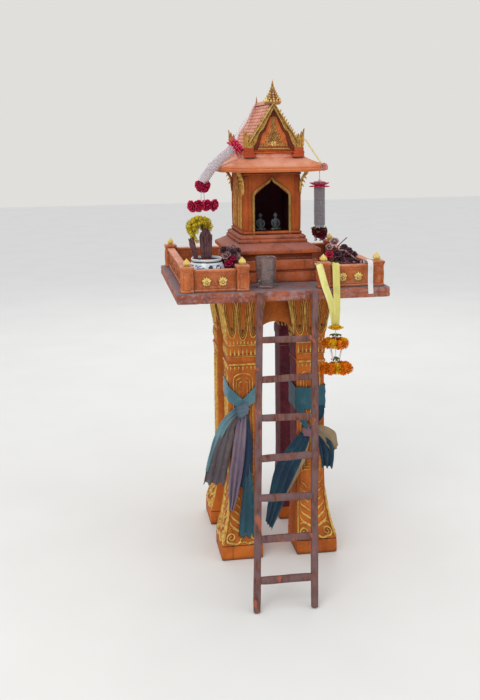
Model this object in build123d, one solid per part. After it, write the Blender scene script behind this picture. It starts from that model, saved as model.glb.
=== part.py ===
"""Spirit house: a small cement shrine on a four-legged table, with a ladder and hung offerings.

Millimetres, +Z up, the front faces -Y. The model is laid out about the middle of the table
and moved at the end, so that the origin is the middle of the footprint on the ground.
"""
from math import cos, radians, sin
import os

from build123d import *

# Table
table_width = 640.0
table_depth = 588.0
table_top = 862.0
slab_thickness = 30.0

# Legs
leg_size = 91.0
leg_base_width = 130.0
leg_base_height = 47.0
leg_base_x = 119.0
leg_base_y = 128.0
leg_lean = 12.0
leg_flare_top = 240.0
capital_bottom = 676.0
capital_width = 140.0
flare_steps = 4

# Aprons between the capitals
apron_thickness = 36.0
apron_setback = 15.0
apron_bottom = 706.0
apron_rise = 34.0

# Balustrade
post_size = 35.0
post_inset = 15.0
post_height = 70.0
post_cap_height = 7.0
post_cap_overhang = 3.0
gate_post_x = 123.0
finial_diameter = 21.0
finial_height = 24.0
finial_foot_diameter = 11.6
finial_belly_height = 10.0
finial_neck_diameter = 13.0
finial_neck_height = 18.7
panel_thickness = 16.0
panel_height = 58.0
panel_rail_width = 26.0
panel_rail_height = 8.0

# Pedestal and plinth, each wider than the house body by its margin all round
body_width = 181.0
body_depth = 210.0
base_margin = 45.5
base_height = 70.0
base_groove_height = 32.0
base_groove_depth = 5.0
base_groove_width = 6.0
neck_margin = 33.0
neck_height = 19.0
cornice_margin = 54.5
cornice_edge_height = 14.0
cornice_slope_height = 18.0
plinth_margin = 20.0
plinth_height = 24.0

# House body
wall_height = 197.0
wall_thickness = 15.0
floor_thickness = 4.0
door_width = 109.0
door_shoulder = 124.0
door_apex = 171.0
door_trim_width = 9.0
door_trim_depth = 5.0

# Eave brackets at the four corners
bracket_height = 74.0
bracket_reach = 30.0
bracket_thickness = 9.0
bracket_waist = 8.0
bracket_waist_drop = 33.0

# Roofs
skirt_overhang = 73.5
skirt_fascia_height = 17.0
skirt_rise = 29.0
skirt_corner_radius = 12.0
upper_side_margin = 7.5
upper_end_margin = 33.0
upper_band_height = 12.0
upper_rise = 155.0
upper_thickness = 13.0
gable_thickness = 14.0
ridge_crest_width = 10.0
ridge_crest_height = 7.0

# Bargeboards on both gables
board_thickness = 13.0
board_width = 16.0
board_overhang = 2.0
board_end_width = 30.0
board_end_height = 82.0
board_end_lift = 6.0
board_end_root_height = 45.0
board_end_bulge = 1.0
board_end_bulge_height = 25.0
board_end_tip_inset = 8.0

# Finials over the gables
spire_width = 46.0
spire_height = 71.0
spire_tiers = 5
spire_tier_taper = 0.62
spike_width = 12.0
spike_height = 31.0
spike_tip = 3.0
saddle_depth = 7.0

# Ladder
ladder_rail_size = 20.0
ladder_spacing = 164.0
ladder_reach = 200.0
ladder_top_x = 3.0
ladder_foot_x = -50.0
ladder_clearance = 0.2
rung_thickness = 21.0
rung_depth = 16.0
rung_count = 7
rung_first = 83.0
rung_pitch = 110.5

# Offerings on the table and in the house
figurine_spacing = 50.0
figurine_width = 32.0
figurine_height = 60.0
figurine_setback = 62.0
figurine_seat = 18.0
figurine_torso = 26.0
figurine_hip = 24.0
figurine_shoulder = 18.0
figurine_head = 13.0
pot_side_gap = 102.0
pot_front_gap = 112.0
pot_rim_diameter = 94.0
pot_belly_diameter = 112.0
pot_foot_diameter = 66.0
pot_height = 90.0
pot_belly_height = 52.0
pot_wall = 5.0
sand_depth = 18.0
incense_diameter = 46.0
incense_height = 110.0
flower_ring_diameter = 90.0
flower_ring_height = 60.0
flower_ring_level = 64.0
glass_x = -44.0
glass_front_gap = 72.0
glass_diameter = 65.0
glass_foot_diameter = 56.0
glass_height = 92.0
glass_wall = 3.0
glass_foot = 14.0
dried_clearance = 9.0
dried_front_width = 114.0
dried_front_depth = 90.0
dried_front_height = 92.0
dried_side_width = 50.0
dried_side_length = 150.0
dried_side_height = 48.0
dried_left_width = 118.0
dried_left_depth = 78.0
dried_left_height = 80.0
dried_bundle_gap = 2.0
dried_bundle_diameter = 30.0
dried_bundle_height = 128.0

# Hung garlands
cloth_clearance = 0.3
garland_diameter = 34.0
garland_bend_inset = 177.0
garland_lie_angle = 128.0
garland_hang_angle = 150.0
garland_rise = 45.0
garland_left_setback = 62.0
cluster_width = 42.0
cluster_height = 30.0
cluster_gap = 27.0
rose_width = 92.0
rose_depth = 44.0
rose_height = 38.0
garland_right_length = 134.0
garland_right_diameter = 38.0
garland_ring_diameter = 64.0
garland_ring_height = 14.0
garland_right_inset = 24.0
garland_thread = 38.0
thread_diameter = 6.0
bunch_width = 52.0
bunch_height = 44.0

# Ribbon round the right gate post, with its marigolds, and a strip over the right panel
ribbon_width = 22.0
ribbon_thickness = 3.0
ribbon_loop_height = 9.0
ribbon_drop = 184.0
ribbon_left_x = 104.0
ribbon_right_x = 152.0
ribbon_meet_x = 150.0
marigold_ring_diameter = 82.0
marigold_ring_height = 34.0
marigold_gap = 38.0
marigold_width = 104.0
marigold_depth = 60.0
marigold_height = 46.0
bow_height = 36.0
strip_side_gap = 62.0
strip_width = 16.0
strip_rise = 12.0
strip_drop = 86.0

# Sashes: outlines of the hanging cloth, as offsets from the knot in X and Z
sash_band_height = 76.0
sash_thickness = 5.0
sash_knot_width = 40.0
sash_knot_height = 46.0
sash_tail_thickness = 4.0
sash_left_level = 556.0
sash_left_tails = [
    [(-14, 0), (-132, -214), (-56, -222), (0, -20)],
    [(-14, 0), (-56, -302), (-18, -302), (8, -20)],
    [(-4, 0), (-22, -398), (26, -398), (18, 0)],
]
sash_left_knot_x = -3.0
sash_right_level = 534.0
sash_right_tails = [
    [(-16, 4), (-98, -92), (-130, -184), (-147, -298), (-126, -298), (-65, -184), (-14, -92), (14, 0)],
    [(10, 6), (38, 12), (95, -40), (88, -62), (34, -30)],
    [(10, 0), (30, -4), (72, -60), (74, -112), (52, -110), (30, -60)],
]
sash_right_knot_x = -9.0
sash_knot_drop = 10.0

on_floor = (Align.CENTER, Align.CENTER, Align.MIN)
slab_bottom = table_top - slab_thickness
post_x = table_width / 2 - post_inset - post_size / 2
post_y = table_depth / 2 - post_inset - post_size / 2
base_top = table_top + base_height
neck_top = base_top + neck_height
cornice_top = neck_top + cornice_edge_height + cornice_slope_height
wall_bottom = cornice_top + plinth_height
wall_top = wall_bottom + wall_height
skirt_width = body_width + 2 * skirt_overhang
skirt_depth = body_depth + 2 * skirt_overhang
upper_width = body_width + 2 * upper_side_margin
upper_depth = body_depth + 2 * upper_end_margin
skirt_edge_top = wall_top + skirt_fascia_height
skirt_top = skirt_edge_top + skirt_rise
band_top = skirt_top + upper_band_height
ridge = band_top + upper_rise
pot_x = -(table_width / 2 - pot_side_gap)
pot_y = -(table_depth / 2 - pot_front_gap)
glass_y = -(table_depth / 2 - glass_front_gap)
rail_top = table_top + panel_height + panel_rail_height
ribbon_level = rail_top + cloth_clearance + ribbon_loop_height
strip_x = table_width / 2 - strip_side_gap
corners = [(side, end) for side in (-1, 1) for end in (-1, 1)]
side_name = {-1: "left", 1: "right"}
end_name = {-1: "front", 1: "back"}


def plate(points, thickness, y):
    """A flat plate with its outline in X and Z, from y to y + thickness."""
    outline = make_face(Polyline(*points, close=True))
    return extrude(Plane.XZ.offset(-y) * outline, amount=-thickness)


def block(width, depth, height, x=0.0, y=0.0, z=0.0):
    """A box that stands on z, centred on x and y."""
    return Pos(x, y, z) * Box(width, depth, height, align=on_floor)


def taper(lower, upper, z0, z1):
    """A straight-sided solid between two rectangles, each (x, y, width, depth)."""
    faces = []
    for (x, y, width, depth), z in ((lower, z0), (upper, z1)):
        faces.append(Pos(x, y, z) * Rectangle(width, depth))
    return loft(faces, ruled=True)


def leg(side, end):
    """One leg: square foot, curved flare, straight shaft and a capital that widens to the slab."""
    foot_x, foot_y = side * leg_base_x, end * leg_base_y
    shaft_x, shaft_y = side * (leg_base_x - leg_lean), end * (leg_base_y - leg_lean)
    solid = block(leg_base_width, leg_base_width, leg_base_height, foot_x, foot_y)
    levels = []
    for step in range(flare_steps + 1):
        share = step / flare_steps
        bulge = (1 - share) ** 2
        width = leg_size + (leg_base_width - leg_size) * bulge
        x = shaft_x + (foot_x - shaft_x) * bulge
        y = shaft_y + (foot_y - shaft_y) * bulge
        levels.append(((x, y, width, width), leg_base_height + share * (leg_flare_top - leg_base_height)))
    levels.append(((shaft_x, shaft_y, leg_size, leg_size), capital_bottom))
    levels.append(((shaft_x, shaft_y, capital_width, capital_width), slab_bottom))
    for (lower, z0), (upper, z1) in zip(levels, levels[1:]):
        solid += taper(lower, upper, z0, z1)
    return solid


def aprons(legs):
    """Arched plates between the capitals, under the slab."""
    shaft_x, shaft_y = leg_base_x - leg_lean, leg_base_y - leg_lean
    setback = leg_size / 2 - apron_setback - apron_thickness / 2
    height = slab_bottom - apron_bottom
    made = {}
    for sign, name in ((-1, "front"), (1, "back")):
        made["apron_" + name] = apron(shaft_x, height, legs, Pos(0, sign * (shaft_y + setback), 0))
    for sign, name in ((-1, "left"), (1, "right")):
        turned = Pos(sign * (shaft_x + setback), 0, 0) * Rot(0, 0, 90)
        made["apron_" + name] = apron(shaft_y, height, legs, turned)
    return made


def apron(reach, height, legs, place):
    half_gap = reach - leg_size / 2
    radius = (half_gap ** 2 + apron_rise ** 2) / (2 * apron_rise)
    middle = apron_bottom + apron_rise - radius
    arch = Pos(0, 0, middle) * Rot(90, 0, 0) * Cylinder(radius, apron_thickness * 2)
    solid = block(2 * reach, apron_thickness, height, z=apron_bottom) - arch
    solid = place * solid
    for piece in legs:
        solid -= piece
    return solid.solids().sort_by(SortBy.VOLUME)[-1]


def post(x, y):
    """A square post with a thin cap."""
    cap_width = post_size + 2 * post_cap_overhang
    stem = block(post_size, post_size, post_height, x, y, table_top)
    return stem + block(cap_width, cap_width, post_cap_height, x, y, table_top + post_height)


def finial(x, y):
    """A bud that stands on a post's cap."""
    low = table_top + post_height + post_cap_height
    foot, belly, neck = finial_foot_diameter / 2, finial_diameter / 2, finial_neck_diameter / 2
    points = [(0, 0), (foot, 0), (belly, finial_belly_height), (neck, finial_neck_height), (0, finial_height)]
    return Pos(x, y, low) * turned(points)


def panel(length):
    """One balustrade panel along X, centred on the origin, with a wider top rail."""
    solid = block(length, panel_thickness, panel_height)
    return solid + block(length, panel_rail_width, panel_rail_height, z=panel_height)


def balustrade():
    """Posts, their buds and the panels between them; the front has a gap for the ladder."""
    places = [(side * post_x, end * post_y) for side, end in corners]
    places += [(side * gate_post_x, -post_y) for side in (-1, 1)]
    made = {
        "rail_posts": Compound([post(x, y) for x, y in places]),
        "post_finials": Compound([finial(x, y) for x, y in places]),
    }
    front_length = post_x - gate_post_x - post_size
    for side in (-1, 1):
        middle = side * (post_x + gate_post_x) / 2
        made["panel_front_" + side_name[side]] = Pos(middle, -post_y, table_top) * panel(front_length)
        side_panel = Pos(side * post_x, 0, table_top) * Rot(0, 0, 90) * panel(2 * post_y - post_size)
        made["panel_" + side_name[side]] = side_panel
    made["panel_back"] = Pos(0, post_y, table_top) * panel(2 * post_x - post_size)
    return made


def pedestal():
    """The stepped base under the house, from the table up to the walls."""
    base_width, base_depth = body_width + 2 * base_margin, body_depth + 2 * base_margin
    base = block(base_width, base_depth, base_height, z=table_top)
    groove = block(base_width, base_depth, base_groove_width)
    groove -= block(base_width - 2 * base_groove_depth, base_depth - 2 * base_groove_depth, base_groove_width)
    base -= Pos(0, 0, table_top + base_groove_height) * groove
    neck = block(body_width + 2 * neck_margin, body_depth + 2 * neck_margin, neck_height, z=base_top)
    wide, deep = body_width + 2 * cornice_margin, body_depth + 2 * cornice_margin
    plinth_wide, plinth_deep = body_width + 2 * plinth_margin, body_depth + 2 * plinth_margin
    edge_top = neck_top + cornice_edge_height
    cornice = block(wide, deep, cornice_edge_height, z=neck_top)
    cornice += taper((0, 0, wide, deep), (0, 0, plinth_wide, plinth_deep), edge_top, cornice_top)
    plinth = block(plinth_wide, plinth_deep, plinth_height, z=cornice_top)
    return {
        "pedestal_base": base,
        "pedestal_neck": neck,
        "pedestal_cornice": cornice,
        "house_plinth": plinth,
    }


def door_outline(grow):
    """The pointed doorway, with its outline moved outwards by grow."""
    half = door_width / 2 + grow
    slope = (door_apex - door_shoulder) / (door_width / 2)
    rise = grow * (1 + slope ** 2) ** 0.5
    shoulder = wall_bottom + door_shoulder + rise - slope * grow
    apex = wall_bottom + door_apex + rise
    return [(-half, wall_bottom), (half, wall_bottom), (half, shoulder), (0, apex), (-half, shoulder)]


def walls():
    """Four walls round a hollow room, its floor, the doorway and the trim round it."""
    front = -body_depth / 2
    inner_depth = body_depth - 2 * wall_thickness
    inner_width = body_width - 2 * wall_thickness
    front_wall = block(body_width, wall_thickness, wall_height, 0, front + wall_thickness / 2, wall_bottom)
    front_wall -= plate(door_outline(0), wall_thickness, front)
    made = {"wall_front": front_wall}
    back = -front - wall_thickness / 2
    made["wall_back"] = block(body_width, wall_thickness, wall_height, 0, back, wall_bottom)
    for side in (-1, 1):
        x = side * (body_width - wall_thickness) / 2
        made["wall_" + side_name[side]] = block(wall_thickness, inner_depth, wall_height, x, 0, wall_bottom)
    made["house_floor"] = block(inner_width, inner_depth, floor_thickness, z=wall_bottom)
    trim = plate(door_outline(door_trim_width), door_trim_depth, front - door_trim_depth)
    trim -= plate(door_outline(0), door_trim_depth, front - door_trim_depth)
    made["door_trim"] = trim
    return made


def eave_brackets():
    """Curved struts from the wall corners out to the eaves, on the diagonals."""
    half = bracket_thickness / 2
    low = (0, wall_top - bracket_height)
    tip = (bracket_reach, wall_top)
    knee = (bracket_waist, wall_top - bracket_waist_drop)
    outline = Line((0, wall_top), low) + ThreePointArc(low, knee, tip) + Line(tip, (0, wall_top))
    strut = extrude(Plane.XZ * make_face(outline), amount=half, both=True)
    made = []
    for side, end in corners:
        angle = {(1, -1): -45, (1, 1): 45, (-1, 1): 135, (-1, -1): -135}[(side, end)]
        solid = Pos(side * body_width / 2, end * body_depth / 2, 0) * Rot(0, 0, angle) * strut
        made.append(solid - block(body_width, body_depth, wall_height, z=wall_bottom))
    return {"eave_brackets": Compound([solid.solids().sort_by(SortBy.VOLUME)[-1] for solid in made])}


def slope_plate(side):
    """One slope of the upper roof, with a level foot on the band."""
    half = upper_width / 2
    steep = upper_rise / half
    drop = upper_thickness * (1 + steep ** 2) ** 0.5
    inner = half - drop / steep
    points = [(0, ridge), (side * half, band_top), (side * inner, band_top), (0, ridge - drop)]
    return plate(points, upper_depth, -upper_depth / 2)


def gable(y):
    """The triangular wall under the slopes."""
    half = upper_width / 2
    steep = upper_rise / half
    drop = upper_thickness * (1 + steep ** 2) ** 0.5
    inner = half - drop / steep
    return plate([(-inner, band_top), (inner, band_top), (0, ridge - drop)], gable_thickness, y)


def bargeboard(y):
    """The boards along a gable's slopes, with upturned flame ends."""
    half = upper_width / 2 + board_overhang
    steep = upper_rise / (upper_width / 2)
    top = ridge + board_overhang * steep
    drop = board_width * (1 + steep ** 2) ** 0.5
    inner = half - drop / steep
    outline = [(-half, band_top), (-inner, band_top), (0, top - drop)]
    outline += [(inner, band_top), (half, band_top), (0, top)]
    board = plate(outline, board_thickness, y)
    for side in (-1, 1):
        root = side * (half - board_end_width)
        low = skirt_top + board_end_lift
        bulge = (side * (half + board_end_bulge), low + board_end_bulge_height)
        tip = (side * (half - board_end_tip_inset), low + board_end_height)
        flame = [(root, low), (side * half, low), bulge, tip, (root, low + board_end_root_height)]
        board += plate(flame, board_thickness, y)
    return board


def spire(y):
    """Square tiers that shrink to a point, on a block that straddles the ridge."""
    tier = spire_height / spire_tiers
    solid = block(spire_width, spire_width, saddle_depth, 0, y, ridge - saddle_depth)
    for step in range(spire_tiers):
        width = spire_width * (1 - step / spire_tiers)
        above = width * spire_tier_taper
        z = ridge + step * tier
        solid += taper((0, y, width, width), (0, y, above, above), z, z + tier)
    return solid


def spike(y):
    """The thin finial at the back of the ridge."""
    solid = block(spike_width, spike_width, saddle_depth, 0, y, ridge - saddle_depth)
    lower, upper = (0, y, spike_width, spike_width), (0, y, spike_tip, spike_tip)
    return solid + taper(lower, upper, ridge, ridge + spike_height)


def roofs():
    """The hipped skirt roof, the gabled upper roof on it, and what crowns them."""
    upper = (0, 0, upper_width, upper_depth)
    skirt = block(skirt_width, skirt_depth, skirt_fascia_height, z=wall_top)
    skirt = fillet(skirt.edges().filter_by(Axis.Z), skirt_corner_radius)
    hip = taper((0, 0, skirt_width - 2 * skirt_corner_radius, skirt_depth - 2 * skirt_corner_radius), upper,
                skirt_edge_top, skirt_top)
    front = -upper_depth / 2
    board_y = front - board_thickness
    slopes = [slope_plate(side) for side in (-1, 1)]
    front_board = bargeboard(board_y)
    crest_front, crest_back = board_y + spire_width, -front - spike_width
    crest_y = (crest_front + crest_back) / 2
    crest_height = ridge_crest_height + saddle_depth
    crest = block(ridge_crest_width, crest_back - crest_front, crest_height, 0, crest_y, ridge - saddle_depth)
    crown = spire(board_y + spire_width / 2) - front_board
    rear = spike(-front - spike_width / 2)
    for slope in slopes:
        crest, crown, rear = crest - slope, crown - slope, rear - slope
    return {
        "skirt_roof": skirt + hip,
        "upper_band": block(upper_width, upper_depth, upper_band_height, z=skirt_top),
        "roof_slope_left": slopes[0],
        "roof_slope_right": slopes[1],
        "gable_front": gable(front),
        "gable_back": gable(-front - gable_thickness),
        "ridge_crest": crest,
        "roof_spire": crown,
        "rear_spike": rear,
        "bargeboard_front": front_board,
        "bargeboard_back": bargeboard(-front),
    }


def ladder():
    """Two rails and seven rungs that lean on the front edge of the table."""
    rail = ladder_rail_size
    front = -table_depth / 2 - ladder_clearance
    top = Vector(ladder_top_x, front - rail / 2, table_top)
    foot = Vector(ladder_foot_x, front - ladder_reach, 0)
    lean = Plane(origin=foot, x_dir=(1, 0, 0), z_dir=top - foot)
    length = (top - foot).length
    room = block(2 * table_width, 2 * table_depth, table_top, 0, front - table_depth)
    made = {}
    half = ladder_spacing / 2
    for side in (-1, 1):
        bar = Pos(side * half, 0, -rail) * Box(rail, rail, length + 2 * rail, align=on_floor)
        made["ladder_rail_" + side_name[side]] = (lean * bar) & room
    rungs = []
    for step in range(rung_count):
        height = rung_first + step * rung_pitch
        rungs.append(lean * Pos(0, 0, height) * Box(ladder_spacing - rail, rung_depth, rung_thickness))
    made["ladder_rungs"] = Compound(rungs)
    return made


def figurines():
    """Two seated figures inside the doorway."""
    made = []
    y = -body_depth / 2 + figurine_setback
    low = wall_bottom + floor_thickness
    head_height = figurine_height - figurine_seat - figurine_torso
    for side in (-1, 1):
        x = side * figurine_spacing / 2
        body = block(figurine_width, figurine_width, figurine_seat, x, y, low)
        torso = Cone(figurine_hip / 2, figurine_shoulder / 2, figurine_torso, align=on_floor)
        head = Cylinder(figurine_head / 2, head_height, align=on_floor)
        body += Pos(x, y, low + figurine_seat) * torso
        body += Pos(x, y, low + figurine_seat + figurine_torso) * head
        made.append(body)
    return {"figurines": Compound(made)}


def turned(points):
    """A solid of revolution about Z from (radius, height) points on its outline."""
    return revolve(Plane.XZ * make_face(Polyline(*points, close=True)), Axis.Z)


def incense_pot():
    """A bellied porcelain pot with sand, a bundle of incense in it and yellow flowers round that."""
    rim, belly, foot = pot_rim_diameter / 2, pot_belly_diameter / 2, pot_foot_diameter / 2
    outer = turned([(0, 0), (foot, 0), (belly, pot_belly_height), (rim, pot_height), (0, pot_height)])
    wall = pot_wall
    hollow = [(0, wall), (foot - wall, wall), (belly - wall, pot_belly_height), (rim - wall, pot_height)]
    inner = turned(hollow + [(0, pot_height)])
    sand_top = pot_height - sand_depth
    sand = inner & block(pot_belly_diameter, pot_belly_diameter, sand_top)
    bundle = Pos(0, 0, sand_top) * Cylinder(incense_diameter / 2, incense_height, align=on_floor)
    ring = Cylinder(flower_ring_diameter / 2, flower_ring_height, align=on_floor)
    ring -= Cylinder(incense_diameter / 2, flower_ring_height, align=on_floor)
    ring = Pos(0, 0, pot_height + flower_ring_level) * ring
    place = Pos(pot_x, pot_y, table_top)
    return {
        "incense_pot": place * (outer - inner),
        "incense_sand": place * sand,
        "incense_sticks": place * bundle,
        "yellow_flowers": place * ring,
    }


def water_glass():
    """A tumbler with a thick foot."""
    foot, rim = glass_foot_diameter / 2, glass_diameter / 2
    wall = glass_wall
    points = [(0, 0), (foot, 0), (rim, glass_height), (rim - wall, glass_height), (foot - wall, glass_foot)]
    solid = turned(points + [(0, glass_foot)])
    return {"water_glass": Pos(glass_x, glass_y, table_top) * solid}


def left_garland():
    """A flower tube that lies over the left edge of the skirt roof, with two bunches under its end."""
    radius = garland_diameter / 2
    y = -skirt_depth / 2 + garland_left_setback
    middle = Vector(-skirt_width / 2 + garland_bend_inset, y, skirt_edge_top - garland_bend_inset)
    reach = garland_bend_inset * 2 ** 0.5 + radius + cloth_clearance

    def on_arc(angle):
        return middle + Vector(reach * cos(radians(angle)), 0, reach * sin(radians(angle)))

    lie, hang = on_arc(garland_lie_angle), on_arc(garland_hang_angle)
    along = Vector(sin(radians(garland_lie_angle)), 0, -cos(radians(garland_lie_angle)))
    start = lie + along * garland_rise
    half_way = on_arc((garland_lie_angle + garland_hang_angle) / 2)
    path = Wire([Line(start, lie).edge(), ThreePointArc(lie, half_way, hang).edge()])
    tube = sweep(Plane(origin=start, z_dir=along * -1) * Circle(radius), path)
    cluster = block(cluster_width, cluster_width, cluster_height, hang.X, y, hang.Z - cluster_height)
    stem_low = hang.Z - cluster_height - cluster_gap
    stem = block(thread_diameter, thread_diameter, cluster_gap, hang.X, y, stem_low)
    roses = block(rose_width, rose_depth, rose_height, hang.X, y, stem_low - rose_height)
    return tube + cluster + stem + roses


def right_garland():
    """A flower tube with a ring round its top, hung on a thread under the right eave corner."""
    x, y = skirt_width / 2 - garland_right_inset, -skirt_depth / 2 + garland_right_inset
    thread_low = wall_top - garland_thread
    thread = Pos(x, y, thread_low) * Cylinder(thread_diameter / 2, garland_thread, align=on_floor)
    low = thread_low - garland_right_length
    hanging = Cylinder(garland_right_diameter / 2, garland_right_length, align=on_floor)
    ring = Cylinder(garland_ring_diameter / 2, garland_ring_height, align=on_floor)
    hanging += Pos(0, 0, garland_right_length - garland_ring_height) * ring
    bunch = block(bunch_width, bunch_width, bunch_height, x, y, low - bunch_height)
    return thread + Pos(x, y, low) * hanging + bunch


def ribbon():
    """A ribbon looped behind the right gate post, with both ends drawn down over the table's edge."""
    face = -table_depth / 2 - cloth_clearance
    half, thick = ribbon_width / 2, ribbon_thickness
    low = ribbon_level - ribbon_drop
    solid = None
    for top_x in (ribbon_left_x, ribbon_right_x):
        points = [(top_x - half, ribbon_level), (top_x + half, ribbon_level)]
        points += [(ribbon_meet_x + half, low), (ribbon_meet_x - half, low)]
        strip = plate(points, thick, face - thick)
        solid = strip if solid is None else solid + strip
    half_loop = post_size / 2 + post_cap_overhang + cloth_clearance
    back = -post_y + half_loop
    lower = ribbon_level - ribbon_loop_height
    for side in (-1, 1):
        x = gate_post_x + side * (half_loop + thick / 2)
        reach = back + thick - face
        solid += block(thick, reach, ribbon_loop_height, x, face + reach / 2, lower)
    back_width = 2 * (half_loop + thick)
    return solid + block(back_width, thick, ribbon_loop_height, gate_post_x, back + thick / 2, lower)


def marigolds():
    """A bow, a ring of marigolds and a bunch of them, one under the other on the ribbon's end."""
    y = -table_depth / 2 - cloth_clearance - ribbon_thickness
    low = ribbon_level - ribbon_drop
    ring_low = low - bow_height - marigold_ring_height
    bow = block(ribbon_width, ribbon_width, bow_height, ribbon_meet_x, y, low - bow_height)
    ring = Cylinder(marigold_ring_diameter / 2, marigold_ring_height, align=on_floor)
    ring = Pos(ribbon_meet_x, y, ring_low) * ring
    stem = block(thread_diameter, thread_diameter, marigold_gap, ribbon_meet_x, y, ring_low - marigold_gap)
    bunch_low = ring_low - marigold_gap - marigold_height
    bunch = block(marigold_width, marigold_depth, marigold_height, ribbon_meet_x, y, bunch_low)
    return bow + ring + stem + bunch


def white_strip():
    """A narrow strip of cloth folded over the top rail of the front right panel."""
    front = -table_depth / 2 - cloth_clearance
    back = -post_y + panel_rail_width / 2 + cloth_clearance
    thick = ribbon_thickness
    depth = back + thick - (front - thick)
    solid = block(strip_width, depth, thick, strip_x, front - thick + depth / 2, rail_top + strip_rise)
    front_height = strip_rise + strip_drop
    solid += block(strip_width, thick, front_height, strip_x, front - thick / 2, rail_top - strip_drop)
    return solid + block(strip_width, thick, 2 * strip_rise, strip_x, back + thick / 2, rail_top - strip_rise)


def sash(side, level, knot_shift, tails):
    """A cloth tied round a front leg: a band, a knot in front and the hanging cloth."""
    x = side * (leg_base_x - leg_lean)
    y = -(leg_base_y - leg_lean)
    inner = leg_size + 2 * cloth_clearance
    outer = inner + 2 * sash_thickness
    band = block(outer, outer, sash_band_height, x, y, level - sash_band_height)
    band -= block(inner, inner, sash_band_height, x, y, level - sash_band_height)
    knot_x = x + knot_shift
    knot_z = level - sash_band_height - sash_knot_drop
    front = y - outer / 2
    face = -(leg_base_y + leg_base_width / 2) - cloth_clearance - sash_tail_thickness
    depth = front - face + sash_thickness / 2
    solid = band + block(sash_knot_width, depth, sash_knot_height, knot_x, face + depth / 2,
                         knot_z - sash_knot_height / 2)
    for outline in tails:
        points = [(knot_x + dx, knot_z + dz) for dx, dz in outline]
        solid += plate(points, sash_tail_thickness, face)
    return solid


def dried_flowers():
    """Heaps of dried flowers in both trays and a dried bundle beside the pot."""
    edge_x = post_x - panel_rail_width / 2 - dried_clearance
    front = -post_y + panel_rail_width / 2 + dried_clearance
    behind_pot = pot_y + pot_belly_diameter / 2 + dried_clearance
    heap = block(dried_front_width, dried_front_depth, dried_front_height,
                 edge_x - dried_front_width / 2, front + dried_front_depth / 2, table_top)
    heap += block(dried_side_width, dried_side_length, dried_side_height,
                  edge_x - dried_side_width / 2, front + dried_front_depth + dried_side_length / 2, table_top)
    left_heap = block(dried_left_width, dried_left_depth, dried_left_height,
                      dried_left_width / 2 - edge_x, behind_pot + dried_left_depth / 2, table_top)
    bundle = Cylinder(dried_bundle_diameter / 2, dried_bundle_height, align=on_floor)
    bundle_x = pot_x + (pot_belly_diameter + dried_bundle_diameter) / 2 + dried_bundle_gap
    return {"dried_flowers": Compound([heap, left_heap, Pos(bundle_x, pot_y, table_top) * bundle])}


def build():
    """Every node of the model by name, about the middle of the table."""
    legs = {"leg_" + end_name[end] + "_" + side_name[side]: leg(side, end) for side, end in corners}
    nodes = dict(legs)
    nodes.update(aprons(legs.values()))
    nodes["table_slab"] = block(table_width, table_depth, slab_thickness, z=slab_bottom)
    nodes.update(balustrade())
    nodes.update(pedestal())
    nodes.update(walls())
    nodes.update(eave_brackets())
    nodes.update(roofs())
    nodes.update(ladder())
    nodes.update(figurines())
    nodes.update(incense_pot())
    nodes.update(water_glass())
    nodes["garland_left"] = left_garland()
    nodes["garland_right"] = right_garland()
    nodes["ribbon"] = ribbon()
    nodes["marigolds"] = marigolds()
    nodes["white_strip"] = white_strip()
    nodes["sash_left"] = sash(-1, sash_left_level, sash_left_knot_x, sash_left_tails)
    nodes["sash_right"] = sash(1, sash_right_level, sash_right_knot_x, sash_right_tails)
    nodes.update(dried_flowers())
    return nodes


def main():
    nodes = build()
    bounds = Compound(list(nodes.values())).bounding_box()
    centre = bounds.center()
    place = Pos(-centre.X, -centre.Y, -bounds.min.Z)
    os.makedirs("parts", exist_ok=True)
    for name, node in nodes.items():
        export_step(place * node, "parts/" + name + ".step")
    print("nodes", len(nodes), "size", bounds.size, "shift", -centre.X, -centre.Y)


main()
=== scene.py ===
"""Looks of the spirit house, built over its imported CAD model.

Shapes are drawn in millimetres from the middle of the table, with +Z up and the front
towards -Y, and are moved into the model's frame when a piece is made.
"""
from math import cos, pi, radians, sin, sqrt
import random

import bpy
import bmesh
from mathutils import Matrix, Vector, noise
from mathutils.bvhtree import BVHTree

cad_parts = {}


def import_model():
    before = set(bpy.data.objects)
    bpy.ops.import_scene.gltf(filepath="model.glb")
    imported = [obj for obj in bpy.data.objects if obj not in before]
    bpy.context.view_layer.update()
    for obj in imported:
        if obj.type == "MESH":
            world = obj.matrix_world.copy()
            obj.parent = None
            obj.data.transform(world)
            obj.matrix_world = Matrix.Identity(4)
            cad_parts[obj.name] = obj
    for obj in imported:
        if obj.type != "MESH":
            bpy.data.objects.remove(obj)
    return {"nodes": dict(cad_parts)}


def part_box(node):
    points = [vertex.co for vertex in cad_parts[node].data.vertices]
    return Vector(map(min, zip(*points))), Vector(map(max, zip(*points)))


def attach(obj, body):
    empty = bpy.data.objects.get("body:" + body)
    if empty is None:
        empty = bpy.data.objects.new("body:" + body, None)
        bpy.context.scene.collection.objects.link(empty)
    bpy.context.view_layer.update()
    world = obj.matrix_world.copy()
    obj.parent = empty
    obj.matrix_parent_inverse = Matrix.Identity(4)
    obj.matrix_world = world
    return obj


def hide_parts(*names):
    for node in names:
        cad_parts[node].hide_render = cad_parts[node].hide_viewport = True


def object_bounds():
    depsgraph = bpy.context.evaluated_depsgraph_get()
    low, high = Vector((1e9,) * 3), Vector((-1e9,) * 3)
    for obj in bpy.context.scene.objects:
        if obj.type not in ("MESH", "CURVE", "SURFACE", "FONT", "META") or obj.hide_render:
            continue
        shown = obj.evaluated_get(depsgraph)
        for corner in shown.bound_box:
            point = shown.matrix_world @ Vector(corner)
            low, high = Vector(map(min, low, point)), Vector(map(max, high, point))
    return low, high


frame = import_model()
nodes = frame["nodes"]
cad_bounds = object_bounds()
slab_low, slab_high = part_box("table_slab")
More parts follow.
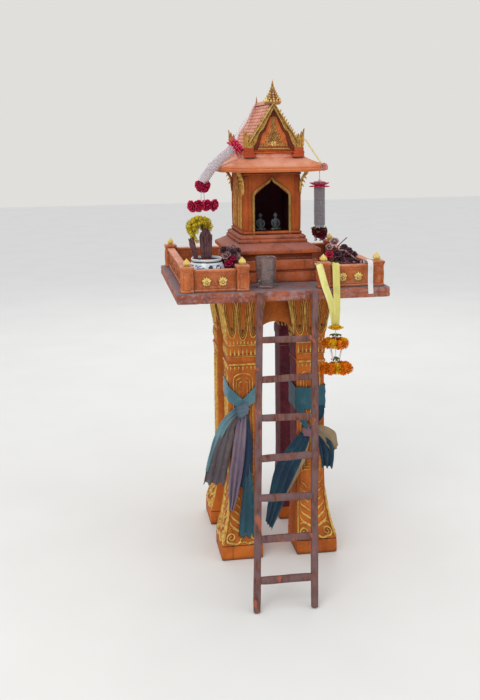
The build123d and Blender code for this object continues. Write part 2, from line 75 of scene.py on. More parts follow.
middle = Vector(((slab_low.x + slab_high.x) / 2, (slab_low.y + slab_high.y) / 2, 0))
room_low, room_high = ((corner - middle) * 1000 for corner in cad_bounds)
# Without a seed, mathutils.noise takes one from the clock, and each run folds the cloths a little
# differently. The wrinkle seed is the clock second of the export that the checks were run on.
draw_seed, wrinkle_seed = 11, 1795770308
chance = random.Random(draw_seed)
noise.seed_set(wrinkle_seed)
vary = chance.uniform
X, Y, Z = Vector((1, 0, 0)), Vector((0, 1, 0)), Vector((0, 0, 1))
SIDES = {"front": (X, -Y), "right": (Y, X), "back": (-X, Y), "left": (-Y, -X)}
WALLS = ("front", "back", "left", "right")
golden_turn = 2.39996


def span(node):
    """Lowest and highest corner of a CAD node, in millimetres from the middle of the table."""
    low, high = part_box(node)
    return (low - middle) * 1000, (high - middle) * 1000


def extent(node):
    """Centre and half size of a CAD node, in the same millimetres."""
    low, high = span(node)
    return (low + high) / 2, (high - low) / 2


# Shapes

def vec(x, y, z=0.0):
    return Vector((x, y, z))


def turns(count):
    """Angles all round a circle."""
    return [2 * pi * i / count for i in range(count)]


def around(angle, wide=1.0, deep=None, z=0.0):
    """The point at an angle on a circle or ellipse round the Z axis."""
    return vec(cos(angle) * wide, sin(angle) * (wide if deep is None else deep), z)


def limit(value, low=0.0, high=1.0):
    return min(high, max(low, value))


def placed(name, data):
    """A new object in the scene."""
    thing = bpy.data.objects.new(name, data)
    bpy.context.scene.collection.objects.link(thing)
    return thing


class Shape:
    """Points and faces of one piece, gathered from many small forms."""

    def __init__(self):
        self.points, self.faces = [], []

    def add(self, points, faces):
        start = len(self.points)
        self.points += [Vector(p) for p in points]
        self.faces += [[start + i for i in face] for face in faces]

    def skin(self, rows, closed=True, ends=True):
        """Faces through rows of equal length; closed joins a row's ends, ends caps the last rows."""
        width = len(rows[0])
        faces = []
        for r in range(len(rows) - 1):
            for i in range(width if closed else width - 1):
                j = (i + 1) % width
                faces.append((r * width + i, r * width + j, (r + 1) * width + j, (r + 1) * width + i))
        if ends:
            faces.append(tuple(reversed(range(width))))
            faces.append(tuple(range((len(rows) - 1) * width, len(rows) * width)))
        self.add([p for row in rows for p in row], faces)

    def wobble(self, amount, size):
        """Moves the points a little, so that nothing is perfectly straight."""
        for p in self.points:
            p += noise.noise_vector(p / size) * amount

    def piece(self, name, material, slot, replaces=(), sharp=38):
        """Makes the object that shows this shape, held inside the CAD model's box."""
        mesh = bpy.data.meshes.new(name)
        held = [Vector(map(max, room_low, map(min, room_high, p))) for p in self.points]
        mesh.from_pydata([p / 1000 + middle for p in held], [], self.faces)
        work = bmesh.new()
        work.from_mesh(mesh)
        bmesh.ops.recalc_face_normals(work, faces=work.faces)
        work.to_mesh(mesh)
        work.free()
        mesh.shade_smooth()
        mesh.set_sharp_from_angle(angle=radians(sharp))
        thing = placed(name, mesh)
        mesh.materials.append(material)
        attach(thing, "root")
        if replaces:
            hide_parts(*replaces)
        return thing

    def show(self, node, material, slot, sharp=38):
        """The piece that takes the place of a CAD node."""
        return self.piece(node + "_look", material, slot, [node], sharp)


def shapes(count):
    return [Shape() for _ in range(count)]


def rounded(points, steps=4):
    """A smooth line through points."""
    points = [Vector(p) for p in points]
    line = []
    for i in range(len(points) - 1):
        b, c = points[i], points[i + 1]
        a = points[i - 1] if i else b * 2 - c
        d = points[i + 2] if i + 2 < len(points) else c * 2 - b
        for step in range(steps):
            t = step / steps
            line.append((b * 2 + (c - a) * t + (a * 2 - b * 5 + c * 4 - d) * t ** 2
                         + (b * 3 - a - c * 3 + d) * t ** 3) / 2)
    return line + [points[-1]]


def heading(line, i):
    """The direction of a line at its point i."""
    return (line[min(i + 1, len(line) - 1)] - line[max(i - 1, 0)]).normalized()


def ring(x, y, half_x, half_y, z, radius, cuts=4, arc=2):
    """Points round a rectangle with rounded corners."""
    arcs = []
    for number, (side, end) in enumerate(((1, -1), (1, 1), (-1, 1), (-1, -1))):
        centre = vec(x + side * (half_x - radius), y + end * (half_y - radius), z)
        angles = [radians(90 * number - 90 + 90 * step / arc) for step in range(arc + 1)]
        arcs.append([centre + around(angle) * radius for angle in angles])
    points = []
    for here, after in zip(arcs, arcs[1:] + arcs[:1]):
        points += here + [here[-1].lerp(after[0], step / (cuts + 1)) for step in range(1, cuts + 1)]
    return points


def stack(shape, half_x, half_y, profile, x=0, y=0, radius=2.0, cuts=4, arc=2):
    """A moulded block: profile is a list of (outwards, z) from its rectangular middle."""
    rows = []
    for out, z in profile:
        corner = min(radius, min(half_x + out, half_y + out) * 0.9)
        rows.append(ring(x, y, half_x + out, half_y + out, z, corner, cuts, arc))
    shape.skin(rows)


def levels(low, high, lower, upper):
    """A profile from (outwards, height over low) and (outwards, depth under high)."""
    return [(out, low + up) for out, up in lower] + [(out, high - down) for out, down in upper]


def moulded(node, material, slot, lower, upper, wobble, radius, cuts, arc=2):
    """A block with mouldings in place of a CAD node, its profile given as in levels."""
    centre, half = extent(node)
    shape = Shape()
    profile = levels(centre.z - half.z, centre.z + half.z, lower, upper)
    stack(shape, half.x, half.y, profile, centre.x, centre.y, radius, cuts, arc)
    shape.wobble(*wobble)
    shape.show(node, material, slot)


def softened(z0, z1, edge=2.0):
    """The profile of a block with worn edges."""
    return [(-edge, z0), (-edge * 0.3, z0 + edge * 0.3), (0, z0 + edge), (0, z1 - edge),
            (-edge * 0.3, z1 - edge * 0.3), (-edge, z1)]


def lathe(shape, place, outline, sides=28):
    """A turned form from (radius, height) points, round the Z axis at place."""
    shape.skin([[place + around(a, radius, z=z) for a in turns(sides)] for radius, z in outline])


def frames(line):
    """Each point of a line with its direction and a right-angled pair across it, without twist."""
    found = []
    across = heading(line, 0).orthogonal()
    for i, point in enumerate(line):
        along = heading(line, i)
        across = (across - along * across.dot(along)).normalized()
        found.append((point, along, across, along.cross(across)))
    return found


def tube(shape, line, radii, sides=6):
    """A round rod along a line; radii is one radius or one for each point."""
    line = [Vector(p) for p in line]
    radii = radii if hasattr(radii, "__len__") else [radii] * len(line)
    shape.skin([[point + (a * cos(turn) + b * sin(turn)) * radius for turn in turns(sides)]
                for (point, _, a, b), radius in zip(frames(line), radii)])


def ball(shape, centre, half, sides=14, rows=9):
    """A rounded lump with its own half sizes in X, Y and Z."""
    layers = []
    for i in range(rows):
        polar = pi * (i + 0.15) / (rows - 0.7)
        layers.append([centre + around(a, sin(polar) * half[0], sin(polar) * half[1], -cos(polar) * half[2])
                       for a in turns(sides)])
    shape.skin(layers)


def flat(origin, side):
    """Where a point (across, up, outwards) on an upright flat face is in space."""
    across, outwards = SIDES[side]
    return lambda u, v, h: origin + across * u + Z * v + outwards * h


# How wide a raised line is along its length, from 0 to 1.

def level(t):
    return 1


def even(t):
    return min(1, 6 * t + 0.3, 6 * (1 - t) + 0.3)


def spindle(t):
    return 0.08 + 0.92 * sin(pi * limit(t)) ** 0.8


def flame(t):
    return max(0.06, min(1, 0.45 + 3 * t) * (1 - t) ** 0.7)


def fading(t):
    return 1 - 0.5 * t


def stroke(shape, place, path, width, height, swell=even, steps=4):
    """A raised line with a rounded top on a surface."""
    line = rounded([(u, v, 0) for u, v in path], steps)
    rows = []
    for i, point in enumerate(line):
        along = heading(line, i)
        across = vec(-along.y, along.x)
        share = swell(i / (len(line) - 1))
        row = []
        for sideways, up in ((-1, -0.3), (-0.7, 0.65), (0, 1), (0.7, 0.65), (1, -0.3)):
            spot = point + across * (sideways * width / 2 * share)
            row.append(place(spot.x, spot.y, up * height * (0.3 + 0.7 * share)))
        rows.append(row)
    shape.skin(rows)


def mirrored(right):
    """A path up one side and down the other, from its right half."""
    return [(-u, v) for u, v in right[:-1]] + right[::-1]


def scroll(x, y, radius, start, turn, count=8):
    """Points of a spiral that winds inwards from its outer end."""
    found = []
    for step in range(count):
        share = step / (count - 1)
        spot = around(radians(start + turn * share), radius * (1 - 0.82 * share))
        found.append((x + spot.x, y + spot.y))
    return found


bead = ((1, -0.3), (0.85, 0.5), (0.45, 0.92), (0.1, 1))
low_bead = ((1, -0.3), (0.8, 0.6), (0.2, 1))


def boss(shape, place, u, v, wide, tall, height, sides=8, layers=bead):
    """A low round bead on a surface."""
    shape.skin([[place(u + cos(a) * wide * share, v + sin(a) * tall * share, up * height)
                 for a in turns(sides)] for share, up in layers])


def blossom(shape, place, u, v, size):
    """A gold flower of the kind on the balustrade: layered leaves that rise to a point."""

    def leaf(angle, root, lean, rise, width):
        tip = (u + sin(radians(angle)) * size * lean, rise[0] + cos(radians(angle)) * size * rise[1])
        mid = ((tip[0] + root[0]) / 2, (tip[1] + root[1]) / 2)
        stroke(shape, place, [root, mid, tip], width, width / 2, spindle)

    for angle in (-62, -31, 0, 31, 62):
        leaf(angle, (u + sin(radians(angle)) * size * 0.08, v - size * 0.06), 0.52, (v, 0.56), size * 0.34)
    for angle in (-135, 135, -100, 100, 180):
        leaf(angle, (u, v - size * 0.1), 0.42, (v - size * 0.12, 0.3), size * 0.28)
    boss(shape, place, u, v, size * 0.15, size * 0.15, size * 0.26)


def border(shape, place, u0, v0, u1, v1, width, height):
    """A raised frame round a field."""
    for path in ([(u0, v0), (u1, v0)], [(u0, v1), (u1, v1)], [(u0, v0), (u0, v1)], [(u1, v0), (u1, v1)]):
        stroke(shape, place, path, width, height, even, 3)


def plate(shape, outline, low, high, across, edge, origin=Vector((0, 0, 0))):
    """An upright plate with softened edges from an outline in (across, up), between two depths."""
    through = across.cross(Z)
    rows = []
    for depth, inset in ((low, edge), (low + edge, 0), (high - edge, 0), (high, edge)):
        row = []
        for i, (u, v) in enumerate(outline):
            along = Vector(outline[(i + 1) % len(outline)]) - Vector(outline[i - 1])
            spot = Vector((u, v)) + Vector((-along.y, along.x)).normalized() * inset
            row.append(across * spot.x + Z * spot.y + through * depth + origin)
        rows.append(row)
    shape.skin(rows)


# Materials

FALLING = (1.0, 0.0)


def colour(red, green, blue):
    """A screen colour, 0 to 255, in the linear values that shaders use."""
    shares = [value / 255 for value in (red, green, blue)]
    return tuple(s / 12.92 if s <= 0.04045 else ((s + 0.055) / 1.055) ** 2.4 for s in shares) + (1.0,)


class Graph:
    """A node tree under construction."""

    def __init__(self, tree):
        self.tree = tree

    def node(self, kind, links=(), **settings):
        made = self.tree.nodes.new(kind)
        for key, value in settings.items():
            setattr(made, key, value)
        for socket, value in dict(links).items():
            if isinstance(value, bpy.types.NodeSocket):
                self.tree.links.new(value, made.inputs[socket])
            else:
                made.inputs[socket].default_value = value
        return made

    def between(self, value, low, high, to=(0.0, 1.0)):
        """The first value of to below low, the second above high."""
        links = {"Value": value, "From Min": low, "From Max": high, "To Min": to[0], "To Max": to[1]}
        return self.node("ShaderNodeMapRange", links).outputs["Result"]

    def maths(self, operation, a, b):
        return self.node("ShaderNodeMath", {0: a, 1: b}, operation=operation).outputs[0]

    def times(self, a, b):
        return self.maths("MULTIPLY", a, b)


class Finish(Graph):
    """A material under construction: the shader, and the tint that it gets layer by layer."""

    def __init__(self, name, roughness=0.7, metallic=0.0, specular=0.22, **inputs):
        self.material = bpy.data.materials.new(name)
        self.material.use_nodes = True
        super().__init__(self.material.node_tree)
        self.shader = self.tree.nodes["Principled BSDF"]
        values = {"Roughness": roughness, "Metallic": metallic, "Specular IOR Level": specular}
        values.update({key.replace("_", " "): value for key, value in inputs.items()})
        for socket, value in values.items():
            self.shader.inputs[socket].default_value = value
        self.place = self.node("ShaderNodeTexCoord").outputs["Object"]

    def noise(self, scale, detail=4.0, stretch=(1, 1, 1), distortion=0.0):
        place = self.node("ShaderNodeVectorMath", {0: self.place, 1: stretch},
                          operation="MULTIPLY").outputs[0]
        links = {"Vector": place, "Scale": scale, "Detail": detail, "Distortion": distortion}
        return self.node("ShaderNodeTexNoise", links).outputs["Fac"]

    def patches(self, low, high, *noise, **settings):
        """1 where a noise is over high, 0 where it is under low."""
        return self.between(self.noise(*noise, **settings), low, high)

    def upwards(self):
        """How far the surface faces up, 0 to 1."""
        normal = self.node("ShaderNodeNewGeometry").outputs["Normal"]
        return self.between(self.node("ShaderNodeSeparateXYZ", {0: normal}).outputs["Z"], 0.35, 0.9)

    def zone(self, low, high, edge):
        """1 between two heights over the ground, in metres."""
        height = self.node("ShaderNodeSeparateXYZ", {0: self.place}).outputs["Z"]
        return self.times(self.between(height, low, low + edge),
                          self.between(height, high - edge, high, FALLING))

    def crevices(self, distance):
        """1 in narrow corners, 0 in the open: where the materials lay painted shade, in worn together with
        dirt.
        """
        made = self.node("ShaderNodeAmbientOcclusion", {"Distance": distance}, samples=6)
        return self.between(made.outputs["AO"], 0.35, 0.85, FALLING)

    def mix(self, share, a, b):
        return self.node("ShaderNodeMix", {"Factor": share, 6: a, 7: b}, data_type="RGBA").outputs[2]

    def start(self, mask, main, shade):
        self.tint = self.mix(mask, colour(*main), colour(*shade))

    def coat(self, mask, rgb, amount=None):
        """Lays a colour over the tint where the mask is 1."""
        share = mask if amount is None else self.times(mask, amount)
        self.tint = self.mix(share, self.tint, colour(*rgb))

    def relief(self, height, strength, distance=0.002):
        bump = self.node("ShaderNodeBump", {"Height": height, "Strength": strength, "Distance": distance})
        self.tree.links.new(bump.outputs[0], self.shader.inputs["Normal"])

    def done(self):
        self.tree.links.new(self.tint, self.shader.inputs["Base Color"])
        return self.material


def worn(name, main, shade, dust, patch=9.0, grain=140.0, dusty=0.5, top_dust=0.0, top=None, streaks=0.0,
         grime_and_shade=(74, 46, 36), grime_and_shade_share=0.6, deep=0.012, roughness=0.72, metallic=0.0, bump=0.35):
    """Old paint on cement: patches of two shades, dust, thin drip marks, and dirt with painted shade in the
    corners.
    """
    finish = Finish(name, roughness, metallic)
    finish.start(finish.patches(0.36, 0.64, patch, 6.0, distortion=0.6), main, shade)
    specks = finish.noise(grain, 6.0)
    finish.coat(finish.between(specks, 0.5, 0.68), dust, dusty)
    finish.coat(finish.patches(0.52, 0.66, patch * 3.3, 8.0), dust, dusty * 0.8)
    if streaks:
        finish.coat(finish.patches(0.55, 0.72, 70.0, 4.0, (1, 1, 0.06)), grime_and_shade, streaks)
    if top_dust:
        lying = finish.times(finish.upwards(), finish.patches(0.25, 0.6, 22.0, 6.0))
        finish.coat(lying, top or dust, top_dust)
    # Dark colour in corners and hollows: partly dirt, partly painted shade.
    finish.coat(finish.crevices(deep), grime_and_shade, grime_and_shade_share)
    finish.relief(finish.maths("ADD", specks, finish.noise(grain * 0.3, 5.0)), bump)
    return finish.done()


def petals(name, main, shade, roughness=0.6, scale=220.0, deep=0.006, dark=None):
    """Petals, leaves and other plant stuff, with painted shade where they overlap."""
    finish = Finish(name, roughness, Subsurface_Weight=0.08, Subsurface_Radius=(0.004, 0.002, 0.001))
    finish.start(finish.patches(0.35, 0.65, scale), main, shade)
    # The dark colour is painted shade in the overlaps and hollows.
    finish.coat(finish.crevices(deep), dark or [value * 0.45 for value in shade], 0.7)
    finish.relief(finish.noise(scale * 2), 0.1, 0.0005)
    return finish.done()


def wood(name, main, shade, grey):
    """Weathered bare wood with grain along Z and flakes of old paint, with painted shade in its corners."""
    finish = Finish(name, 0.85)
    grain = finish.noise(120.0, 8.0, (1, 1, 0.06), 0.4)
    finish.start(finish.between(grain, 0.35, 0.65), main, shade)
    finish.coat(finish.patches(0.42, 0.62, 26.0, 8.0), grey, 0.8)
    finish.coat(finish.patches(0.6, 0.66, 40.0, 9.0, (1, 1, 0.4), 1.0), (176, 96, 66), 0.8)
    # Painted shade in corners and hollows.
    finish.coat(finish.crevices(0.01), (60, 44, 46), 0.6)
    finish.relief(grain, 0.6, 0.0015)
    return finish.done()


def fabric(name, main, shade, edge, roughness=0.8, sheen=0.2):
    """Thin cloth: two shades in soft patches with a fine weave."""
    finish = Finish(name, roughness, Sheen_Weight=sheen)
    finish.start(finish.patches(0.38, 0.62, 14.0, 5.0, (1, 1, 0.35)), main, shade)
    finish.coat(finish.patches(0.55, 0.7, 34.0, 8.0), edge, 0.45)
    finish.relief(finish.noise(900.0, 2.0), 0.25, 0.0004)
    return finish.done()


def gold_paint(name, main, shade, roughness=0.42, deep=0.005):
    """Gold paint, rubbed brown in places, with dark brown in its hollows: partly dirt, partly painted shade.
    """
    finish = Finish(name, roughness, 0.35, 0.5)
    finish.start(finish.patches(0.42, 0.66, 90.0, 6.0), main, shade)
    # Dark brown in the hollows of the relief: partly dirt, partly painted shade.
    finish.coat(finish.crevices(deep), (96, 52, 26), 0.75)
    finish.relief(finish.noise(260.0), 0.2, 0.0008)
    return finish.done()


def porcelain(foot):
    """White glaze with a blue and black brush pattern in a band round the belly, and painted shade in its
    corners.
    """
    finish = Finish("porcelain", 0.18, specular=0.5, Coat_Weight=0.4)
    marks = finish.patches(0.48, 0.51, 26.0, 1.5, distortion=2.6)
    low, high = foot + 0.030, foot + 0.074
    brush = finish.mix(finish.patches(0.44, 0.48, 13.0), colour(28, 30, 40), colour(26, 38, 148))
    painted = finish.times(marks, finish.zone(low, high, 0.002))
    finish.tint = finish.mix(painted, colour(214, 222, 226), brush)
    finish.coat(finish.zone(high + 0.004, high + 0.0095, 0.001), (34, 38, 44))
    # Painted shade in corners and hollows.
    finish.coat(finish.crevices(0.01), (120, 110, 100), 0.4)
    return finish.done()


def glass():
    """Clear glass with a film of dust."""
    finish = Finish("glass", 0.08, specular=0.5, Transmission_Weight=0.92, IOR=1.45)
    finish.start(finish.patches(0.4, 0.7, 50.0, 6.0), (226, 222, 222), (198, 192, 196))
    return finish.done()


pot_low, pot_high = span("incense_pot")
# The long reach of the hollow darkening on the walls paints the eave's shadow on their tops.
wall_cement = worn("house_orange", (190, 94, 38), (158, 70, 26), (198, 116, 66), 14, 160, 0.3, streaks=0.4,
                   deep=0.05, grime_and_shade_share=0.75)
leg_cement = worn("leg_orange", (206, 110, 38), (164, 80, 26), (204, 136, 74), 11, 150, 0.25, streaks=0.45,
                  grime_and_shade_share=0.85, deep=0.018)
table_cement = worn("table_orange", (176, 98, 68), (136, 74, 58), (166, 136, 136), 12, 110, 0.8,
                    top_dust=0.95, top=(120, 118, 128), streaks=0.4, bump=0.6)
# Strong hollow darkening on the pedestal paints the shade under its ledges, with dirt.
step_cement = worn("pedestal_orange", (186, 92, 48), (142, 66, 38), (184, 120, 96), 12, 130, 0.5,
                   top_dust=0.7, top=(172, 120, 112), streaks=0.6, grime_and_shade_share=0.85, grime_and_shade=(62, 36, 28), deep=0.016)
rail_cement = worn("rail_orange", (202, 112, 60), (170, 86, 44), (210, 146, 112), 14, 130, 0.4,
                   top_dust=0.9, top=(224, 164, 142), streaks=0.3)
roof_cement = worn("roof_orange", (202, 110, 60), (182, 92, 46), (214, 134, 96), 8, 120, 0.3,
                   top_dust=0.9, top=(232, 172, 148), streaks=0.15, grime_and_shade_share=0.5)
tile_cement = worn("tile_pink", (234, 166, 140), (212, 132, 106), (232, 194, 178), 16, 140, 0.5, grime_and_shade_share=0.75,
                   grime_and_shade=(140, 82, 66), deep=0.006)
crown_cement = worn("spire_orange", (178, 112, 60), (132, 80, 46), (170, 150, 124), 30, 200, 0.5, grime_and_shade_share=0.8,
                    grime_and_shade=(70, 46, 34), deep=0.006)
field_orange = worn("gable_orange", (208, 106, 50), (180, 82, 36), (220, 146, 92), 20, 180, 0.35, grime_and_shade_share=0.5,
                    grime_and_shade=(104, 50, 26), deep=0.003)
# Painted shadow: the dark red that stands for the roof's shadow on the top of the gables and along the
# bargeboards.
roof_shadow_red = worn("painted_roof_shadow", (120, 48, 24), (92, 34, 18), (142, 70, 44), 20, 180, 0.25)
foot_red = worn("board_foot_red", (186, 76, 38), (156, 58, 28), (196, 110, 74), 20, 180, 0.3)
maroon = worn("maroon", (112, 42, 56), (84, 30, 42), (134, 78, 84), 12, 150, 0.25, grime_and_shade=(40, 18, 24))
room_paint = worn("room_maroon", (92, 34, 46), (66, 24, 34), (104, 56, 60), 14, 160, 0.25, grime_and_shade=(28, 12, 16))
gold = gold_paint("gold", (226, 184, 88), (176, 124, 52))
roof_gold = gold_paint("roof_gold", (204, 158, 72), (152, 98, 44), 0.5)
pale_gold = gold_paint("pale_gold", (232, 204, 124), (206, 164, 84), 0.45)
trim_gold = gold_paint("trim_gold", (218, 178, 100), (184, 136, 66), 0.45, 0.003)
tracery_gold = gold_paint("tracery_gold", (240, 208, 140), (214, 166, 92), 0.5, 0.0015)
bud_yellow = worn("bud_yellow", (238, 214, 124), (222, 184, 92), (236, 222, 170), 40, 160, 0.3, grime_and_shade_share=0.3)
rung_wood = wood("ladder_wood", (132, 88, 76), (88, 58, 56), (118, 94, 96))
figure_grey = worn("figure_grey", (96, 104, 106), (66, 72, 76), (132, 134, 130), 50, 240, 0.4, roughness=0.6,
                   metallic=0.2, grime_and_shade=(40, 36, 38), deep=0.006)
pot_glaze = porcelain(pot_low.z / 1000)
sand_grey = worn("sand", (168, 158, 146), (138, 128, 118), (190, 184, 176), 40, 500, 0.6, bump=0.8)
stick_brown = worn("incense_brown", (118, 80, 84), (84, 52, 58), (156, 126, 122), 60, 300, 0.3, bump=0.2)
stick_red = worn("incense_stem", (140, 62, 70), (112, 46, 56), (160, 110, 104), 60, 300, 0.2, bump=0.2)
yellow_petal = petals("yellow_petals", (228, 206, 52), (196, 164, 34), dark=(104, 84, 18))
clear_glass = glass()
white_petal = petals("jasmine_white", (242, 234, 234), (226, 216, 220), dark=(168, 154, 164), deep=0.003)
# Painted shade: the white jasmine made grey, as it hangs in the eave's shadow.
shaded_jasmine = petals("jasmine_painted_shade", (176, 168, 172), (138, 132, 138), dark=(62, 58, 64), deep=0.005)
rose_petal = petals("rose_red", (236, 62, 110), (202, 32, 78), dark=(112, 14, 44), deep=0.008)
dark_rose = petals("rose_dark", (142, 26, 52), (98, 16, 38), dark=(42, 8, 18), deep=0.008)
pink_petal = petals("flower_pink", (236, 84, 118), (214, 44, 84), dark=(140, 24, 52))
pale_pink = petals("flower_pale", (238, 190, 184), (226, 150, 150), dark=(170, 96, 96))
orange_petal = petals("marigold_orange", (246, 152, 14), (236, 118, 6), dark=(170, 66, 0), deep=0.005)
gold_petal = petals("marigold_yellow", (246, 206, 40), (238, 178, 24), dark=(180, 120, 10), deep=0.005)
leaf_green = petals("leaf_green", (92, 112, 60), (62, 84, 42), dark=(28, 40, 20))
dry_petal = petals("dried_petals", (124, 88, 96), (90, 56, 66), 0.85, 120, dark=(44, 28, 34))
dry_pale = petals("dried_pale", (210, 176, 170), (176, 136, 138), 0.85, 120, dark=(84, 62, 66))
thread_white = petals("thread_white", (222, 216, 216), (200, 192, 196), 0.8, 200)
thread_cream = petals("thread_cream", (232, 218, 170), (214, 196, 142), 0.8, 200)
ribbon_satin = fabric("ribbon_satin", (240, 234, 156), (214, 204, 112), (186, 176, 98), 0.42, sheen=0.4)
white_cotton = fabric("white_cotton", (232, 230, 228), (214, 210, 210), (188, 180, 178))
cloth_teal = fabric("cloth_teal", (50, 94, 106), (38, 74, 88), (72, 116, 118))
cloth_pale = fabric("cloth_pale_teal", (104, 140, 148), (74, 114, 128), (128, 148, 142))
cloth_mauve = fabric("cloth_mauve", (100, 90, 94), (76, 68, 76), (122, 116, 100))
cloth_lilac = fabric("cloth_lilac", (136, 122, 132), (106, 86, 110), (110, 80, 112))
cloth_navy = fabric("cloth_navy", (34, 44, 76), (30, 56, 76), (62, 72, 92))
cloth_pink = fabric("cloth_pink", (146, 98, 108), (110, 84, 100), (160, 124, 112))
cloth_deep = fabric("cloth_deep_teal", (26, 62, 80), (20, 44, 66), (48, 84, 92))
cloth_beige = fabric("cloth_beige", (158, 136, 106), (128, 110, 86), (100, 94, 84))
cloth_knot = fabric("cloth_grey_teal", (108, 126, 138), (80, 98, 116), (132, 124, 136))


# Table

def soft_copy(node, material, slot, edge=1.5):
    """The CAD node with worn edges."""
    work = bmesh.new()
    work.from_mesh(nodes[node].data)
    bmesh.ops.remove_doubles(work, verts=work.verts, dist=1e-5)
    bmesh.ops.dissolve_limit(work, angle_limit=radians(2), verts=work.verts, edges=work.edges)
    edges = [e for e in work.edges if len(e.link_faces) == 2 and e.calc_face_angle(0) > radians(25)]
    bmesh.ops.bevel(work, geom=edges, offset=edge / 1000, segments=2, profile=0.6, affect="EDGES",
                    clamp_overlap=True)
    bmesh.ops.triangulate(work, faces=[f for f in work.faces if len(f.verts) > 4])
    shape = Shape()
    shape.points = [(v.co - middle) * 1000 for v in work.verts]
    shape.faces = [[v.index for v in face.verts] for face in work.faces]
    work.free()
    return shape.show(node, material, slot)


def recolour(thing, material, chosen):
    """A second material on the faces for which chosen(centre, normal) is true, in table millimetres."""
    thing.data.materials.append(material)
    for face in thing.data.polygons:
        if chosen((face.center - middle) * 1000, face.normal):
            face.material_index = 1


leg_top = span("leg_front_left")[1].z
leg_capital = leg_top - 156
leg_foot_top = 47
leg_flare_top = 240
capital_half = 70
leg_scale = 60
leg_reach = 0.98


class Leg:
    """One leg, drawn round the sections of its CAD solid."""

    def __init__(self, end, side):
        self.name = "leg_" + end + "_" + side
        self.end, self.side = end, side
        mesh = nodes[self.name].data
        points = [(v.co - middle) * 1000 for v in mesh.vertices]
        self.cad = BVHTree.FromPolygons(points, [list(face.vertices) for face in mesh.polygons])
        low, high = span(self.name)
        self.x = high.x - capital_half if side == "left" else low.x + capital_half
        self.y = high.y - capital_half if end == "front" else low.y + capital_half
        self.known = {}

    def section(self, z):
        """Centre and half width of the leg at a height."""
        z = limit(round(z, 1), 0.2, leg_top - 0.2)
        if z not in self.known:
            left, right, front, back = (self.cad.ray_cast(vec(self.x, self.y, z) - across * 400, across)[0]
                                        for across in (X, -X, Y, -Y))
            self.known[z] = (left.x + right.x) / 2, (front.y + back.y) / 2, (right.x - left.x) / 2
        return self.known[z]

    def sections(self):
        """Centre, half width and height of each row of points, from the foot up."""
        x, y, half = self.section(20)
        found = [(x, y, half + out, z) for out, z in softened(0, leg_foot_top - 2, 4)]
        steps = [leg_foot_top + (leg_flare_top - leg_foot_top) * share / 4 for share in range(5)]
        flares = [self.section(z + 0.3) for z in steps]
        middles = rounded([(x, y, z) for (x, y, _), z in zip(flares, steps)], 3)
        halves = rounded([(half, 0, 0) for _, _, half in flares], 3)
        found.append((middles[0].x, middles[0].y, halves[0].x - 4, leg_foot_top - 1))
        found += [(spot.x, spot.y, half.x - 0.5, spot.z) for spot, half in zip(middles, halves)]
        x, y, half = self.section(leg_capital - 20)
        bands = ((0, 596), (0, 606), (2.5, 608), (3, 612), (2.5, 617), (0, 619), (0, 634), (2, 637),
                 (2.5, 650), (2, 666), (0, 669), (0, leg_capital - 3))
        found += [(x, y, half - 0.5 + out, z) for out, z in bands]
        lean = self.section(leg_top - 1)[2] - half
        capital = ((0.03, 0.02), (0.06, 0.07), (0.2, 0.17), (0.4, 0.34), (0.6, 0.56), (0.8, 0.8), (0.93, 1),
                   (1, 1))
        rise = leg_top - leg_capital
        return found + [(x, y, half + lean * out, leg_capital + rise * up) for up, out in capital]

    def build(self):
        shape = Shape()
        shape.skin([ring(x, y, half, half, z, 4, 5) for x, y, half, z in self.sections()])
        self.tree = BVHTree.FromPolygons(shape.points, shape.faces)
        shape.wobble(0.5, 30)
        thing = shape.show(self.name, leg_cement, "leg_cement")
        painted_from = leg_foot_top if self.end == "back" else leg_flare_top
        in_x, in_y = -1 if self.side == "right" else 1, -1 if self.end == "back" else 1

        def faces_in(centre, normal):
            inside = normal.x * in_x > 0.8 or normal.y * in_y > 0.8 and self.name != "leg_back_left"
            return inside and painted_from < centre.z < leg_top

        recolour(thing, maroon, faces_in)

    def place(self, side):
        """Where (across, height, outwards) on one face of the leg is; across is a share of the half width."""
        across, outwards = SIDES[side]

        def found(u, v, h):
            x, y, half = self.section(v)
            start = vec(x, y, v) + across * (u * half) + outwards * 300
            hit = self.tree.ray_cast(start, -outwards)[0]
            return (hit if hit is not None else start - outwards * (300 - half)) + outwards * h

        return found


def leg_stroke(shape, place, path, width, height, swell=even, mirror=True, steps=4):
    """A raised line on a leg's face and its mirror image; across is a share of the half width."""
    for sign in ((1, -1) if mirror else (1,)):
        stroke(shape, lambda u, v, h: place(limit(u / leg_scale, -leg_reach, leg_reach), v, h),
               [(sign * u * leg_scale, v) for u, v in path], width, height, swell, steps)


def flare_ornament(shape, place):
    """Gold flames and scrolls over the foot of a leg."""
    curl, small = ([(u / leg_scale, v) for u, v in spiral]
                   for spiral in (scroll(36, 70, 16, -100, 560, 14), scroll(0, 60, 9, 90, 420, 9)))
    leg_stroke(shape, place, [(0.1, 58), (0.3, 51)] + curl, 7, 4.5, fading, steps=3)
    for step in range(6):
        low = 84 + 24 * step
        leg_stroke(shape, place, [(0.12 + 0.04 * step, low), (0.42, low + 10), (0.7, low + 22),
                                  (0.9 - 0.02 * step, low + 46)], 11 - step, 4.5, flame)
    leg_stroke(shape, place, [(0.06, 74), (0.16, 92), (0.1, 112), (0.02, 134)], 9, 4, flame)
    leg_stroke(shape, place, [(0.5, 92), (0.66, 98), (0.82, 92), (0.9, 76)], 6, 4, flame)
    leg_stroke(shape, place, [(0.93, 50), (0.93, 90), (0.92, 150), (0.9, 196)], 5, 3.5)
    leg_stroke(shape, place, small, 4, 3.5, even, False, 3)


